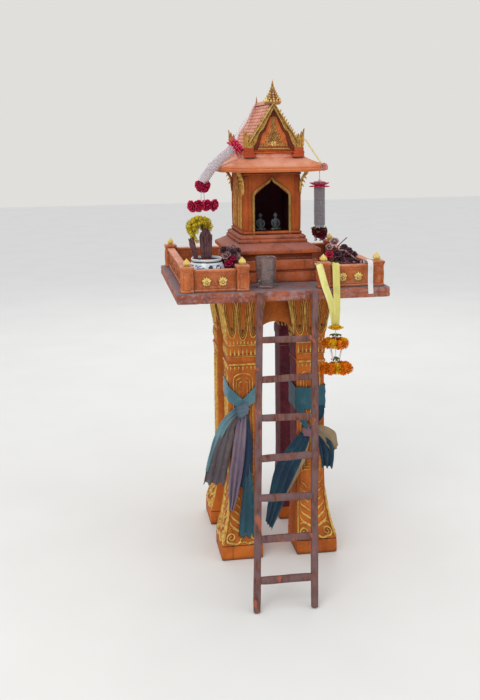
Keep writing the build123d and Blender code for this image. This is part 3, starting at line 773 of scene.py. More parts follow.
def shaft_ornament(shape, place):
    """A tall panel of nested arches on the shaft."""
    for inset, width in ((0, 4.5), (0.2, 3.5), (0.38, 3.5)):
        reach = 0.66 - inset
        low, high = 262 + 50 * inset, 584 - 60 * inset
        shoulder = high - 34 * reach
        leg_stroke(shape, place, [(0, low), (reach * 0.8, low + 2), (reach, low + 12), (reach, shoulder - 60),
                                  (reach, shoulder), (reach * 0.72, high - 6), (0, high)], width, 2.6)
    leg_stroke(shape, place, [(0, 300), (0, 420), (0, 540)], 6, 2.4, spindle, False)


def band_ornament(shape, dots, place):
    """Beads, pendants and small flames on the bands under the capital."""
    for step in range(7):
        u = -0.84 + 0.28 * step
        leg_stroke(shape, place, [(u, 606), (u, 600), (u, 591)], 9, 3, flame, False, 2)
        leg_stroke(shape, place, [(u, 640), (u, 650), (u, 664)], 10, 3, flame, False, 2)
        if step < 6:
            boss(dots, place, u + 0.14, 645, 0.05, 2.4, 2.4, 6, low_bead)
    for z, width in ((612, 7), (672, 4), (636, 3)):
        leg_stroke(shape, place, [(-0.97, z), (-0.4, z), (0.4, z), (0.97, z)], width, 2.2, level, False)


def capital_ornament(shape, dots, place):
    """Tall lotus petals on the capital, outlined in gold."""
    top, low = leg_top - 5, leg_capital + 12
    for u, reach, root in ((0, 0.31, low), (-0.66, 0.3, low + 8), (0.66, 0.3, low + 8)):
        for inset, width in ((0, 4.2), (0.1, 3.0), (0.2, 2.6)):
            wide = reach - inset * 0.9
            foot, head = root + inset * 90, top - inset * 60
            waist = (head + foot) / 2
            right = [(0, foot), (wide * 0.7, foot + 16), (wide * 0.94, waist), (wide, head - 34),
                     (wide * 0.6, head)]
            path = [(-across, v) for across, v in right[:0:-1]] + right
            leg_stroke(shape, place, [(u + across, v) for across, v in path], width, 2.8, even, False)
        boss(dots, place, u, root + 30, 0.075, 4, 3.4, 8, low_bead)
    for step in range(8):
        u = -0.84 + 0.24 * step
        leg_stroke(shape, place, [(u, leg_capital + up) for up in (-1, 6, 13)], 9, 3, flame, False, 2)


def legs():
    for end in ("front", "back"):
        for side in ("left", "right"):
            leg = Leg(end, side)
            leg.build()
            relief, dots = shapes(2)
            for face in (end, side):
                place = leg.place(face)
                flare_ornament(relief, place)
                shaft_ornament(relief, place)
                band_ornament(relief, dots, place)
                capital_ornament(relief, dots, place)
            for face in SIDES:
                if face not in (end, side):
                    capital_ornament(relief, dots, leg.place(face))
            relief.piece(leg.name + "_gold", gold, "gold_paint")
            dots.piece(leg.name + "_dots", maroon, "room_paint")


def table():
    legs()
    for name in WALLS:
        soft_copy("apron_" + name, leg_cement, "leg_cement", 2)
    moulded("table_slab", table_cement, "table_cement",
            [(-9, 0.4), (-3, 0), (-1, 1.5), (0, 4), (0, 12), (-1.2, 13.5), (-1.2, 15), (0, 16.5)],
            [(0, 3.5), (-1, 1), (-4, 0), (-30, 0)], (0.7, 18), 5, 40)


# Balustrade

post_half = 17.5
post_foot = 20.5


def post_places():
    """The middles of the six posts; the last is the one right of the gate."""
    high = span("rail_posts")[1]
    x, y = high.x - post_foot, high.y - post_foot
    gate = span("panel_front_right")[0].x - post_half
    return [(-x, -y), (x, -y), (-x, y), (x, y), (-gate, -y), (gate, -y)]


def posts():
    low, high = span("rail_posts")
    body, buds = shapes(2)
    profile = levels(low.z, high.z, [(0, 0), (1.6, 1), (1.6, 6), (0, 8), (0, 30)],
                     [(0, 14), (1.6, 12), (1.6, 8), (3, 7), (3, 1.5), (1.5, 0), (-6, 0)])
    tall = span("post_finials")[1].z - high.z + 0.3
    bud = [(0.5, 0), (6.4, 0.2), (7.6, 1.6), (6.2, 3), (8.6, 5), (10.4, 8.4), (10.3, 11.5), (8.4, 15.4),
           (5.0, 19), (2.4, 21.4), (1.1, 23), (0.4, tall)]
    for x, y in post_places():
        stack(body, post_half, post_half, profile, x, y, 2.2, 3)
        for side, (_, outwards) in SIDES.items():
            border(body, flat(vec(x, y, low.z) + outwards * post_half, side), -12, 12, 12, 57, 3.4, 2.0)
        foot = vec(x, y, high.z - 0.3)
        lathe(buds, foot, bud, 16)
        for step in range(4):
            out = around(pi / 2 * step + pi / 4)
            line = [foot + out * reach + Z * up for reach, up in ((9.4, 5), (10.2, 11), (4.2, 18.5))]
            tube(buds, rounded(line, 3), [1.6, 2.4, 2.8, 2.6, 2.2, 1.4, 0.7], 5)
    body.wobble(0.35, 14)
    body.show("rail_posts", rail_cement, "rail_cement")
    buds.show("post_finials", bud_yellow, "bud_paint")


def leaf_work(shape, place, u, v, size):
    """Curling leaves between and under the blossoms."""
    leaves = (([(0, -0.4), (0.3, -0.2), (0.42, 0.1), (0.2, 0.3)], 0.16),
              ([(0.1, -0.42), (0.5, -0.4), (0.78, -0.2)], 0.15))
    for sign in (1, -1):
        for path, width in leaves:
            stroke(shape, place, [(u + sign * size * a, v + size * b) for a, b in path], size * width,
                   size * 0.1, flame)


def panel(name, gilded=None):
    """One board of the balustrade; its gilded side has pairs of gold blossoms."""
    centre, half = extent(name)
    thin = 8
    along_x = half.x > half.y
    reach = max(half.x, half.y) - 6
    foot, top = centre.z - half.z, centre.z + half.z
    rail = top - 8
    cuts = 8 if "front" in name else 20
    inner = (half.x, thin) if along_x else (thin, half.y)
    body, relief = shapes(2)
    profile = levels(foot, rail, [(0, 0), (2, 1), (2, 6), (0, 8)], [(0, 6), (2, 3), (2, -1)])
    stack(body, inner[0] - 2, inner[1], profile, centre.x, centre.y, 1.5, cuts)
    stack(body, half.x, half.y, softened(rail, top, 2.4), centre.x, centre.y, 2.5, cuts)
    count = max(1, round(reach * 2 / 118))
    wide = reach * 2 / count
    for side in (("front", "back") if along_x else ("left", "right")):
        place = flat(vec(centre.x, centre.y, foot) + SIDES[side][1] * thin, side)
        for number in range(count):
            left = -reach + wide * number
            border(body, place, left + 3, 12, left + wide - 3, rail - foot - 8, 3.2, 1.8)
            if gilded == side:
                for offset in (-25, 23):
                    blossom(relief, place, left + wide / 2 + offset, 29, 30)
            if gilded == side or not along_x:
                leaf_work(body, place, left + wide / 2 - 1, 30, 22)
    body.wobble(0.5, 16)
    body.show(name, rail_cement, "rail_cement")
    if relief.points:
        relief.piece(name + "_gold", pale_gold, "gold_paint")


def balustrade():
    posts()
    panel("panel_front_left", "front")
    panel("panel_front_right", "front")
    panel("panel_back", "back")
    panel("panel_left")
    panel("panel_right")


# House

def pedestal():
    moulded("pedestal_base", step_cement, "house_cement",
            [(-2, 0), (0, 1), (0, 9), (-1, 12), (-1, 30), (-2, 31.5), (-5, 32), (-5, 38), (-2, 38.5),
             (-0.5, 40)],
            [(-0.5, 4), (-2, 1), (-4, 0)], (0.6, 18), 4, 18)
    moulded("pedestal_neck", step_cement, "house_cement", [(-1, 0), (0, 1), (0, 6), (-3, 9)],
            [(0, 1), (0, 0)], (0.4, 18), 3, 14)
    inner = span("pedestal_cornice")[1].x - span("house_plinth")[1].x
    moulded("pedestal_cornice", step_cement, "house_cement",
            [(-9, 0), (-3, 0.5), (-0.6, 2.5), (0, 6), (0, 11), (-1.5, 14), (-5, 16), (-12, 19.5), (-22, 25)],
            [(-inner, 0)], (0.7, 22), 9, 18, 4)
    moulded("house_plinth", step_cement, "house_cement",
            [(-1, 0), (0, 1.5), (0, 7), (-2, 9.5), (-5, 11), (-5, 13), (-3.5, 15), (-4, 18)],
            [(-8, 2.5), (-11, 0)], (0.6, 18), 7, 16, 4)


def faces_room(centre, normal):
    """True for faces that look into the house's room or into its doorway."""
    low, high = span("house_floor")
    door_low, door_high = span("door_trim")
    spot = centre + normal * 2
    in_room = low.x - 2 < spot.x < high.x + 2 and low.y - 2 < spot.y < high.y + 2
    return in_room or door_low.x < spot.x < door_high.x and span("wall_front")[0].y + 1 < spot.y < 0


def false_arch(shape, place, half, foot, crown):
    """The gold outline of a pointed window that isn't cut through."""
    spring = foot + (crown - foot) * 0.62
    rise = crown - spring
    right = [(half, foot), (half, (foot + spring) / 2), (half, spring), (half * 0.86, spring + rise * 0.3),
             (half * 0.44, spring + rise * 0.62), (half * 0.14, crown - 5), (0, crown)]
    stroke(shape, place, mirrored(right), 3.6, 2.6, level)


def cut_door(relief):
    """Takes the wall's foot moulding out of the doorway."""
    low, high = span("door_trim")
    front = span("wall_front")[0].y + 4
    for p in relief.points:
        if p.y < front and low.x < p.x < high.x and p.z < low.z + 20:
            p.x = low.x if p.x < 0 else high.x


def house_walls():
    for name in WALLS:
        wall = soft_copy("wall_" + name, wall_cement, "house_cement", 1.2)
        recolour(wall, room_paint, faces_room)
    soft_copy("house_floor", room_paint, "room_paint", 0.6)
    low, high = span("wall_front")
    tall = high.z - low.z
    wide, deep = (high.x - low.x) / 2, (span("wall_back")[1].y - low.y) / 2
    relief, lines = shapes(2)
    for side, (_, outwards) in SIDES.items():
        reach, face = (wide, deep) if side in ("front", "back") else (deep, wide)
        place = flat(Z * low.z + outwards * face, side)
        for left, right in ((1 - reach, 16 - reach), (reach - 16, reach - 1)):
            border(relief, place, left - 1, 15, right, tall - 14, 3.6, 2.2)
        for z, width, height in ((6, 11, 5.5), (tall - 6, 9, 4)):
            stroke(relief, place, [(-reach, z), (0, z), (reach, z)], width, height, level, 8)
        if side != "front":
            for share, under in ((0.74, 14), (0.52, 30), (0.26, 46)):
                false_arch(lines, place, reach * share, 18, tall - under)
    cut_door(relief)
    relief.wobble(0.3, 16)
    relief.piece("wall_pilasters", wall_cement, "house_cement")
    lines.piece("wall_gold_lines", gold, "gold_paint")


def door_trim():
    low, high = span("door_trim")
    wide, foot = (high.x - low.x) / 2 - 5.8, low.z
    place = flat(Y * span("wall_front")[0].y, "front")
    shoulder = foot + 124
    right = [(wide, foot + 0.5), (wide, foot + 60), (wide, shoulder - 6), (wide - 1, shoulder + 2),
             (wide * 0.8, shoulder + 16), (wide * 0.46, shoulder + 30), (wide * 0.16, shoulder + 42),
             (0, shoulder + 53)]
    trim, rim = shapes(2)
    stroke(trim, place, mirrored(right), 6.8, 5, level, 5)
    for inset in (-2.3, 2.3):
        line = [(u + inset * (u > 0), v + inset * 0.9 * (v > shoulder)) for u, v in right]
        stroke(rim, place, mirrored(line), 2.0, 5.4, level, 5)
    trim.show("door_trim", trim_gold, "gold_paint")
    rim.piece("door_trim_rims", pale_gold, "gold_paint")


def bracket(across, height):
    """One leaf-shaped strut with its corner at the origin, running out along across."""
    leaf = Shape()
    outline = [(0.5, 2), (3, 14), (6, 28), (8, 40), (12, 50), (20, 60), (28, 67), (30, height), (19, height),
               (16, height - 7), (8, height - 18), (3, height - 27), (0.5, height - 32)]
    plate(leaf, outline, -4.5, 4.5, across, 1.2)
    for sign in (1, -1):
        stroke(leaf, lambda u, v, h: across * u + Z * v + across.cross(Z) * (sign * (4.2 + h)),
               [(1.5, 8), (3.5, 30), (6.5, 46), (15, 60), (24, height - 4)], 3.4, 2)
    for step in range(3):
        root = across * (6 + 5 * step) + Z * (34 + 12 * step)
        tip = root + across * 8 - Z * 9
        tube(leaf, rounded([root, (root + tip) / 2 + across * 2, tip], 2), [2.6, 2.4, 2.0, 1.2, 0.5], 5)
    return leaf


def brackets():
    """Gold struts on the diagonals under the eaves."""
    low, high = span("eave_brackets")
    wide, deep = extent("wall_front")[1].x, span("wall_back")[1].y
    shape = Shape()
    for side in (-1, 1):
        for end in (-1, 1):
            leaf = bracket(vec(side, end).normalized(), high.z - low.z)
            shape.add([p + vec(side * wide, end * deep, low.z) for p in leaf.points], leaf.faces)
    shape.show("eave_brackets", gold, "gold_paint")


# Roofs

def skirt_roof():
    low, high = span("skirt_roof")
    upper = span("upper_band")[1]
    edge_top = low.z + 17
    rows = [(-14, -14, low.z + 1.2, 8), (-5, -5, low.z + 0.6, 10), (-1, -1, low.z + 1.4, 12),
            (0, 0, low.z + 4, 12), (0, 0, low.z + 9, 12), (-1.6, -1.6, low.z + 10.5, 11),
            (-1.2, -1.2, edge_top - 2.5, 11), (-2.4, -2.4, edge_top - 0.6, 10)]
    run_x, run_y = upper.x - high.x, upper.y - high.y
    for share in (0.1, 0.25, 0.45, 0.65, 0.85, 1.0):
        z = edge_top + (high.z - edge_top) * share - 1.2 * sin(pi * share)
        rows.append((run_x * share, run_y * share, z, 9 - 7 * share))
    shape = Shape()
    shape.skin([ring(0, 0, high.x + x, high.y + y, z, radius, 14, 3) for x, y, z, radius in rows])
    for p in shape.points:
        p.z += 6 * limit((abs(p.x) + abs(p.y) - 262) / 80) ** 2
    shape.wobble(0.5, 24)
    shape.show("skirt_roof", roof_cement, "roof_cement")


def tiled_slope(side, name):
    """Rows of small scale-shaped tiles on one slope."""
    low, high = span(name)
    columns, pitch = 21, 12.6
    wide = (high.y - low.y) / columns
    eave, top = vec(side * max(abs(low.x), abs(high.x)), 0, low.z), Z * high.z
    up = (top - eave).normalized()
    out = vec(up.z * side, 0, abs(up.x))
    base = [eave - out * 1.2, top - out * 1.2, top - Z * 22, eave - X * side * 14]
    shape = Shape()
    shape.skin([[p + Y * (low.y + (high.y - low.y) * step / 12) for p in base] for step in range(13)])
    scale = [(-0.46, 17), (-0.46, 6), (-0.28, 1.6), (0, 0), (0.28, 1.6), (0.46, 6), (0.46, 17)]
    for row in range(int((top - eave).length / pitch)):
        for number in range(columns - row % 2):
            y = low.y + wide * (number + 0.5 + 0.5 * (row % 2))
            lift = vary(-0.25, 0.35)
            foot = eave + up * (pitch * row + vary(-0.3, 0.3))
            upper, under = [], []
            for u, v in scale:
                rise = 2.6 - 2.2 * v / 17 + lift
                spot = foot + Y * (y + u * wide) + up * v
                upper.append(spot + out * (rise - 0.6))
                under.append(spot + out * (rise - 2.6))
            shape.skin([under, upper])
    for p in shape.points:
        p.z = min(p.z, high.z + 1)
    shape.show(name, tile_cement, "roof_cement", 30)


def gable(end):
    """The pediment: an orange field whose top is painted dark red as the roof's shadow, with a gold lattice
    and mouldings under it.
    """
    name = "gable_" + end
    low, high = span(name)
    face, back = (low.y, high.y) if end == "front" else (high.y, low.y)
    foot, half = low.z, high.x
    field, trace, mould = shapes(3)
    rows = []
    for step in range(21):
        share = step / 20
        reach, z = (half - 0.3) * (1 - share) + 0.3, foot + (high.z - foot) * share
        rows.append([vec(x, y, z) for x, y in ((-reach, back), (-reach, face), (reach, face), (reach, back))])
    field.skin(rows)
    thing = field.show(name, field_orange, "room_paint")
    # The top of the field is painted dark red as the roof's shadow.
    recolour(thing, roof_shadow_red, lambda centre, normal: centre.z > foot + 112)
    place = flat(vec(0, face, foot), end)
    for shape, z, reach, width, height in ((mould, 3, 0.86, 6, 7), (mould, 9.5, 0.74, 4, 5),
                                           (mould, 18, 0.62, 3, 4.5), (trace, 14, 0.6, 4, 5.5)):
        stroke(shape, place, [(-half * reach, z), (0, z), (half * reach, z)], width, height, level, 6)
    for step in range(-5, 6):
        u = step * 8.4
        stroke(trace, place, [(u - 3.6, 20), (u, 25.5), (u + 3.6, 20)], 2.0, 5, even, 3)
    lattice(trace, place, 36)
    curls = ([(-5, -5), (4, -3), (8, 6), (1, 7)], 4.4, 5), ([(4, -4), (10, -1), (13, 8)], 3.4, 4.4)
    for sign in (-1, 1):
        for u, v, size in ((12, 30, 1.0), (22, 27, 0.8), (31, 25, 0.6), (19, 42, 0.8), (16, 56, 0.65)):
            for path, width, height in curls:
                stroke(trace, place, [(sign * (u + a * size), v + b * size) for a, b in path], width * size,
                       height, flame, 3)
    blossom(trace, place, 0, 29, 20)
    mould.piece(name + "_mouldings", field_orange, "house_cement")
    trace.piece(name + "_tracery", tracery_gold, "gold_paint")


def lattice(shape, place, low):
    """Small diamonds in offset rows that narrow upwards, with a bead in each."""
    pitch, size = 9.4, 5.0
    tall = size * 1.2
    for row in range(13):
        v = low + row * pitch / 2 * 1.25
        count = max(1, 4 - row // 3 - row % 2)
        for number in range(count):
            u = (number - (count - 1) / 2) * pitch
            for sign in (-1, 1):
                stroke(shape, place, [(u, v - tall), (u + sign * size, v), (u, v + tall)], 1.8, 4.6, level, 2)
            boss(shape, place, u, v, 1.5, 1.5, 4.8, 6)


board_outer = [(0.3, 0.5), (16, 26), (32, 51), (46, 73), (57, 90), (66, 104), (75, 117), (84, 128)]
board_inner = [(0.3, 21), (11.5, 42), (22, 62), (33, 84), (43, 93), (50, 108), (57, 127), (66, 140)]
board_drop = 141


class Bargeboard:
    """The gold board on the edge of a gable roof, with a dark red second one under it that is a painted
    shadow of the roof.
    """

    def __init__(self, end):
        self.name = "bargeboard_" + end
        low, high = span(self.name)
        self.across = SIDES[end][0]
        self.origin = Y * (high.y if end == "front" else low.y)
        self.place = flat(self.origin, end)
        self.depth, self.top = high.y - low.y, high.z
        self.outer, self.inner = (rounded([(u, self.top - down, 0) for u, down in edge], 5)
                                  for edge in (board_outer, board_inner))
        self.board, self.rims, self.curls, self.under, self.feet = shapes(5)
        for sign in (-1, 1):
            self.body(sign)
            self.leaves(sign)
            self.second_board(sign)
            self.end_block(sign)
        self.board.show(self.name, roof_gold, "gold_paint")
        self.rims.piece(self.name + "_rims", pale_gold, "gold_paint")
        self.curls.piece(self.name + "_flames", roof_gold, "gold_paint")
        # The dark red under board is painted shadow.
        self.under.piece(self.name + "_under", roof_shadow_red, "house_cement")
        self.feet.piece(self.name + "_feet", foot_red, "house_cement")

    def line(self, shape, base, path, width, height, swell, steps):
        """A raised line on the board, base in front of its back."""
        stroke(shape, lambda u, v, h: self.place(u, v, base + h), path, width, height, swell, steps)

    def block(self, outline, sign, low, high, edge):
        """A plate that stands out of the board's curls."""
        outline = [(sign * u, v) for u, v in outline][::sign]
        plate(self.curls, outline, low, high, self.across, edge, self.origin)

    def body(self, sign):
        deep, outer, inner = self.depth, self.outer, self.inner
        section = ((0, 0), (0, deep - 3), (0.1, deep - 1.2), (0.22, deep - 1.6), (0.3, deep - 4.2),
                   (0.7, deep - 4.2), (0.78, deep - 1.6), (1, deep - 2.4), (1, 0))
        rows = []
        for a, b in zip(outer, inner):
            spots = [(b.lerp(a, share), h) for share, h in section]
            rows.append([self.place(sign * q.x, q.y, h) for q, h in spots])
        self.board.skin(rows)
        for share in (0.12, 0.24, 0.84):
            spots = [b.lerp(a, share) for a, b in zip(outer[::3], inner[::3])]
            self.line(self.rims, deep - 2.2, [(sign * q.x, q.y) for q in spots], 2.0, 2.4, level, 2)
        for i in range(2, len(outer) - 2, 2):
            a, b = outer[i], inner[i]
            along = heading(outer, i)
            spot = b.lerp(a, 0.52)
            path = [spot - along * 2.6, spot + (a - b) * 0.2, spot + along * 2.6]
            self.line(self.curls, deep - 4, [(sign * q.x, q.y) for q in path], 3.2, 3.4, spindle, 3)

    def leaves(self, sign):
        """Small leaves in a row along the upper edge."""
        outer, walked = self.outer, 0.0
        leaf = ((3.6, 0), (2.6, 4), (-3.4, 9.5), (-2.4, 4), (-3.6, 0))
        for i in range(5, len(outer) - 3):
            walked += (outer[i] - outer[i - 1]).length
            if walked < 7.5:
                continue
            walked = 0.0
            along = heading(outer, i)
            side = vec(-along.y, along.x) * (1 if along.x > 0 else -1)
            points = [outer[i] - side * 2 + along * forwards + side * up for forwards, up in leaf]
            self.block([(q.x, q.y) for q in points], sign, self.depth * 0.5 - 3, self.depth * 0.5 + 3, 0.8)

    def second_board(self, sign):
        """The dark red board, a painted shadow of the roof on the gable, which widens to a stepped foot on
        the skirt roof.
        """
        base, deep = span("skirt_roof")[1].z, self.depth
        rows = []
        for i, p in enumerate(self.inner[2:]):
            q = p + vec(-1, -0.5).normalized() * (3 + 11 * i / (len(self.inner) - 3))
            rows.append([self.place(sign * r.x, max(base + 1, r.y), h) for r, h in
                         ((p, -8), (p, deep - 6), (q.lerp(p, 0.3), deep - 5), (q, deep - 7), (q, -8))])
        self.under.skin(rows)
        for low, tall, left, right, out in ((0.5, 9, 58, 93, 0), (9, 8, 62, 94, -1), (17, 13, 64, 92, -2)):
            points = [(left, low), (right, low), (right + 1, low + tall * 0.5), (right, low + tall),
                      (left, low + tall), (left - 1, low + tall * 0.5)]
            self.feet.skin([[self.place(sign * u, base + v, h) for u, v in points]
                            for h in (0, deep - 2 + out)])

    def end_block(self, sign):
        """The chunky end: a block of upright flames with a scroll at its foot."""
        low, deep = self.top - board_drop, self.depth
        outline = [(62, 2), (66, -1), (90, -1), (94, 8), (95, 24), (94.5, 40), (96, 58), (91, 46), (89.5, 40),
                   (87, 50), (83, 38), (80, 34), (77, 43), (73.5, 30), (70, 24), (64, 14)]
        self.block([(u, low + v) for u, v in outline], sign, 2, deep - 3.5, 1.4)
        for path, width in (([(88, 2), (91, 16), (90, 32), (93.5, 56)], 8),
                            ([(80, 0), (83, 14), (82, 28), (86, 48)], 7.5),
                            ([(71, 2), (75, 12), (73, 24), (76.5, 41)], 7),
                            ([(64, 4), (68, 10), (67, 18), (69, 27)], 5.5)):
            for base in (1.5, deep - 3.8):
                self.line(self.curls, base, [(sign * u, low + v) for u, v in path], width, 3.6, flame, 4)
        curl = [(sign * u, low + v) for u, v in scroll(76, 8, 8, 200, -420, 10)]
        self.line(self.rims, deep - 3.8, curl, 2.4, 3.6, fading, 3)


def crest():
    """The ridge, with a row of small studs and a larger one in its middle."""
    low, high = span("ridge_crest")
    centre, half = extent("ridge_crest")
    shape = Shape()
    profile = levels(low.z, high.z, [(1.5, 4)], [(1.2, 5), (-1, 3), (-1, 1), (-2.5, 0)])
    stack(shape, high.x, half.y, profile, 0, centre.y, 1.5, 16)
    studs = 17
    for step in range(studs):
        size = 9 if step == studs // 2 else 5
        root = vec(0, low.y + 8 + (high.y - low.y - 16) * step / (studs - 1), high.z - 2)
        tube(shape, [root, root + Z * size * 0.4, root + Z * size], [2.4, 1.8, 0.4], 6)
    shape.wobble(0.3, 14)
    shape.show("ridge_crest", tile_cement, "roof_cement")


def spire():
    """Five tiers of gold leaves that narrow to a turned tip."""
    low, high = span("roof_spire")
    centre, extents = extent("roof_spire")
    x, y, half = centre.x, centre.y, extents.x
    ridge = span("roof_slope_left")[1].z
    tall = high.z - ridge
    tiers = 5
    step = (tall * 0.66 - 8) / tiers
    body, edges, tips = shapes(3)
    rows = [(half - 3, low.z + 1), (half - 2, ridge - 3), (half - 0.5, ridge + 1), (half - 0.5, ridge + 4),
            (half - 4, ridge + 7)]
    for tier in range(tiers):
        share = tier / tiers
        z, width = ridge + 8 + (tall * 0.66 - 8) * share, half * (0.86 - 0.72 * share ** 0.85)
        rows += [(width, z), (width, z + step * 0.24), (width * 0.76, z + step * 0.4),
                 (width * 0.7, z + step * 0.95)]
        for side, (across, outwards) in SIDES.items():
            place = flat(vec(x, y) + outwards * (width * 0.78), side)
            root = z + step * 0.1
            for u in ((-0.62, 0.0, 0.62) if tier < 3 else (0.0,)):
                path = [(u * width, root), (u * width * 1.05, root + step * 0.45),
                        (u * width * 0.95, root + step * 0.95)]
                stroke(edges if tier % 2 else tips, place, path, width * 0.48, width * 0.22, flame, 2)
            way = across + outwards
            corner = vec(x, y, z + step * 0.2) + way * width * 0.84
            tip = corner + way * width * 0.13 + Z * step * 0.8
            tube(edges, [corner, corner.lerp(tip, 0.5) + way * 0.4, tip], [width * 0.16, width * 0.12, 0.4],
                 5)
    body.skin([ring(x, y, out, out, z, min(1.6, out * 0.5), 2) for out, z in rows])
    for side, (_, outwards) in SIDES.items():
        place = flat(vec(x, y) + outwards * (half - 1.5), side)
        for u in (-0.8, -0.4, 0.0, 0.4, 0.8):
            stroke(tips, place, [(u * half, ridge + up) for up in (1, 6, 12)], 7, 3, flame, 2)
    neck = vec(x, y, ridge + tall * 0.62)
    needle(edges, neck, high.z - neck.z, 12, [(0.3, 0), (5.6, 0.4)], (
        (6.0, 0.08), (3.8, 0.15), (4.8, 0.24), (3.0, 0.33), (4.0, 0.42), (2.4, 0.5), (3.0, 0.58), (1.7, 0.66),
        (2.0, 0.74), (0.9, 0.84)))
    body.show("roof_spire", crown_cement, "roof_cement")
    edges.piece("roof_spire_leaves", roof_gold, "gold_paint")
    tips.piece("roof_spire_lotus", pale_gold, "gold_paint")


def needle(shape, foot, tall, sides, start, knots):
    """A turned tip: knots are (radius, share of the height)."""
    lathe(shape, foot, start + [(radius, tall * share) for radius, share in knots] + [(0.2, tall - 0.3)],
          sides)


def rear_spike():
    low, high = span("rear_spike")
    centre = (low + high) / 2
    ridge = span("roof_slope_left")[1].z
    shape = Shape()
    shape.skin([ring(centre.x, centre.y, half, half, z, 1.2, 1) for half, z in
                ((5.8, low.z + 1), (5.8, ridge + 3), (4, ridge + 5), (4, ridge + 8))])
    foot = vec(centre.x, centre.y, ridge + 6)
    needle(shape, foot, high.z - foot.z, 10, [(0.3, 0), (4.2, 0.5)], (
        (4.6, 0.1), (2.4, 0.2), (3.4, 0.28), (1.8, 0.38), (2.6, 0.46), (1.4, 0.56), (1.8, 0.64), (1.0, 0.76)))
    shape.show("rear_spike", crown_cement, "roof_cement")


def house():
    pedestal()
    house_walls()
    door_trim()
    brackets()
    skirt_roof()
    moulded("upper_band", tile_cement, "roof_cement", [(-2, -2), (0, 0), (0, 4), (-2, 6), (-2, 8)],
            [(0, 2), (-1, 0)], (0.4, 20), 3, 14)
    tiled_slope(-1, "roof_slope_left")
    tiled_slope(1, "roof_slope_right")
    for end in ("front", "back"):
        gable(end)
        Bargeboard(end)
    crest()
    spire()
    rear_spike()


# Ladder

def stick(shape, start, end, across, half_a, half_b, bow, cuts, seed):
    """A hand-cut stick of wood, a little crooked and of uneven thickness."""
    other = (end - start).cross(across).normalized()
    rows = []
    for step in range(cuts + 1):
        share = step / cuts
        centre = start.lerp(end, share)
        sway, swing = noise.noise(vec(share * 2.2, seed)), noise.noise(vec(seed, share * 2.2, 5))
        centre += (across * sway + other * swing) * bow
        worn_end = 0.92 if step in (0, cuts) else 1
        a, b = (half * (1 + 0.1 * noise.noise(vec(share * 9, seed, layer))) * worn_end
                for half, layer in ((half_a, 9), (half_b, 17)))
        corners = ((1, 0.7), (0.7, 1), (-0.7, 1), (-1, 0.7), (-1, -0.7), (-0.7, -1), (0.7, -1), (1, -0.7))
        rows.append([centre + across * (a * u) + other * (b * v) for u, v in corners])
    shape.skin(rows)


def ladder():
    ends = []
    for number, name in enumerate(("ladder_rail_left", "ladder_rail_right")):
        low, high = span(name)
        ends += [low + vec(10, 10.4, 2), high - vec(10, 10.6, 2)]
        shape = Shape()
        stick(shape, ends[-2], ends[-1], X, 9.2, 9.2, 3.0, 30, 3.0 + number * 7)
        shape.show(name, rung_wood, "ladder_wood")
    left_foot, left_top, right_foot, right_top = ends
    lean, length = (left_top - left_foot).normalized(), (left_top - left_foot).length
    rungs = Shape()
    for step in range(7):
        share = (81 + 110.5 * step) / length
        a, b = left_foot.lerp(left_top, share), right_foot.lerp(right_top, share)
        a, b = a.lerp(b, 0.02), b.lerp(a, 0.02)
        tilt = Z * vary(-2.5, 2.5)
        stick(rungs, a + tilt, b - tilt, lean, 9.6, 7.4, 1.6, 8, 40.0 + step * 3)
    rungs.show("ladder_rungs", rung_wood, "ladder_wood")


# Offerings

def fused(shape, voxel):
    """The shape as one closed skin, its overlapping forms melted together."""
    mesh = bpy.data.meshes.new("melting")
    mesh.from_pydata([tuple(p) for p in shape.points], [], shape.faces)
    thing = placed("melting", mesh)
    change = thing.modifiers.new("melt", "REMESH")
    change.mode, change.voxel_size = "VOXEL", voxel
    soft = thing.modifiers.new("soft", "SMOOTH")
    soft.iterations, soft.factor = 3, 0.5
    made = bpy.data.meshes.new_from_object(thing.evaluated_get(bpy.context.evaluated_depsgraph_get()))
    result = Shape()
    result.points = [v.co.copy() for v in made.vertices]
    result.faces = [list(face.vertices) for face in made.polygons]
    bpy.data.objects.remove(thing)
    return result


def seated_figure():
    """A calm seated figure with folded legs, hands in its lap and a pointed crown."""
    shape = Shape()
    ball(shape, vec(0, -1, 7), (16, 13, 7.5))
    for sign in (-1, 1):
        ball(shape, vec(sign * 10, -7, 6.5), (7, 7.5, 5.5))
        tube(shape, [(sign * 14, -6, 7), (sign * 4, -14, 7.5), (sign * -6, -13, 8)], [4.6, 4.2, 3.0], 8)
        arm = [(sign * 8.2, 0, 36), (sign * 11.6, -1, 29), (sign * 12, -4, 22), (sign * 8, -9.5, 16.5),
               (sign * 3, -11.5, 14.5)]
        tube(shape, rounded(arm, 3), [3.4, 3.5, 3.5, 3.4, 3.2, 3.1, 3.0, 2.8, 2.7, 2.5, 2.4, 2.3, 2.2], 8)
        ball(shape, vec(sign * 6.3, 0.4, 50), (0.9, 1.3, 3))
        ball(shape, vec(sign * 2.3, -5.5, 50.4), (1.3, 0.8, 0.55))
    ball(shape, vec(0, -11.5, 14), (4.2, 3, 2))
    torso = [(9.5, 7.5, 8), (9, 7, 16), (7.6, 6, 23), (8.6, 6.2, 30), (9.8, 6, 36), (6, 4.6, 40), (3, 3, 42),
             (3, 3, 45)]
    shape.skin([[around(a, wide, deep, z) for a in turns(16)] for wide, deep, z in torso])
    ball(shape, vec(0, -0.2, 49.5), (5.9, 6.2, 7), 18, 12)
    ball(shape, vec(0, -6.1, 48.9), (0.8, 1.0, 1.7))
    ball(shape, vec(0, -5.7, 45.9), (1.6, 0.8, 0.6))
    crown = [(6.4, 0), (6.6, 1.2), (5.4, 2), (5.6, 3), (3.8, 4.4), (2.6, 5.4), (1.2, 7), (0.4, 8.1)]
    lathe(shape, vec(0, 0.2, 51.8), crown, 16)
    return shape


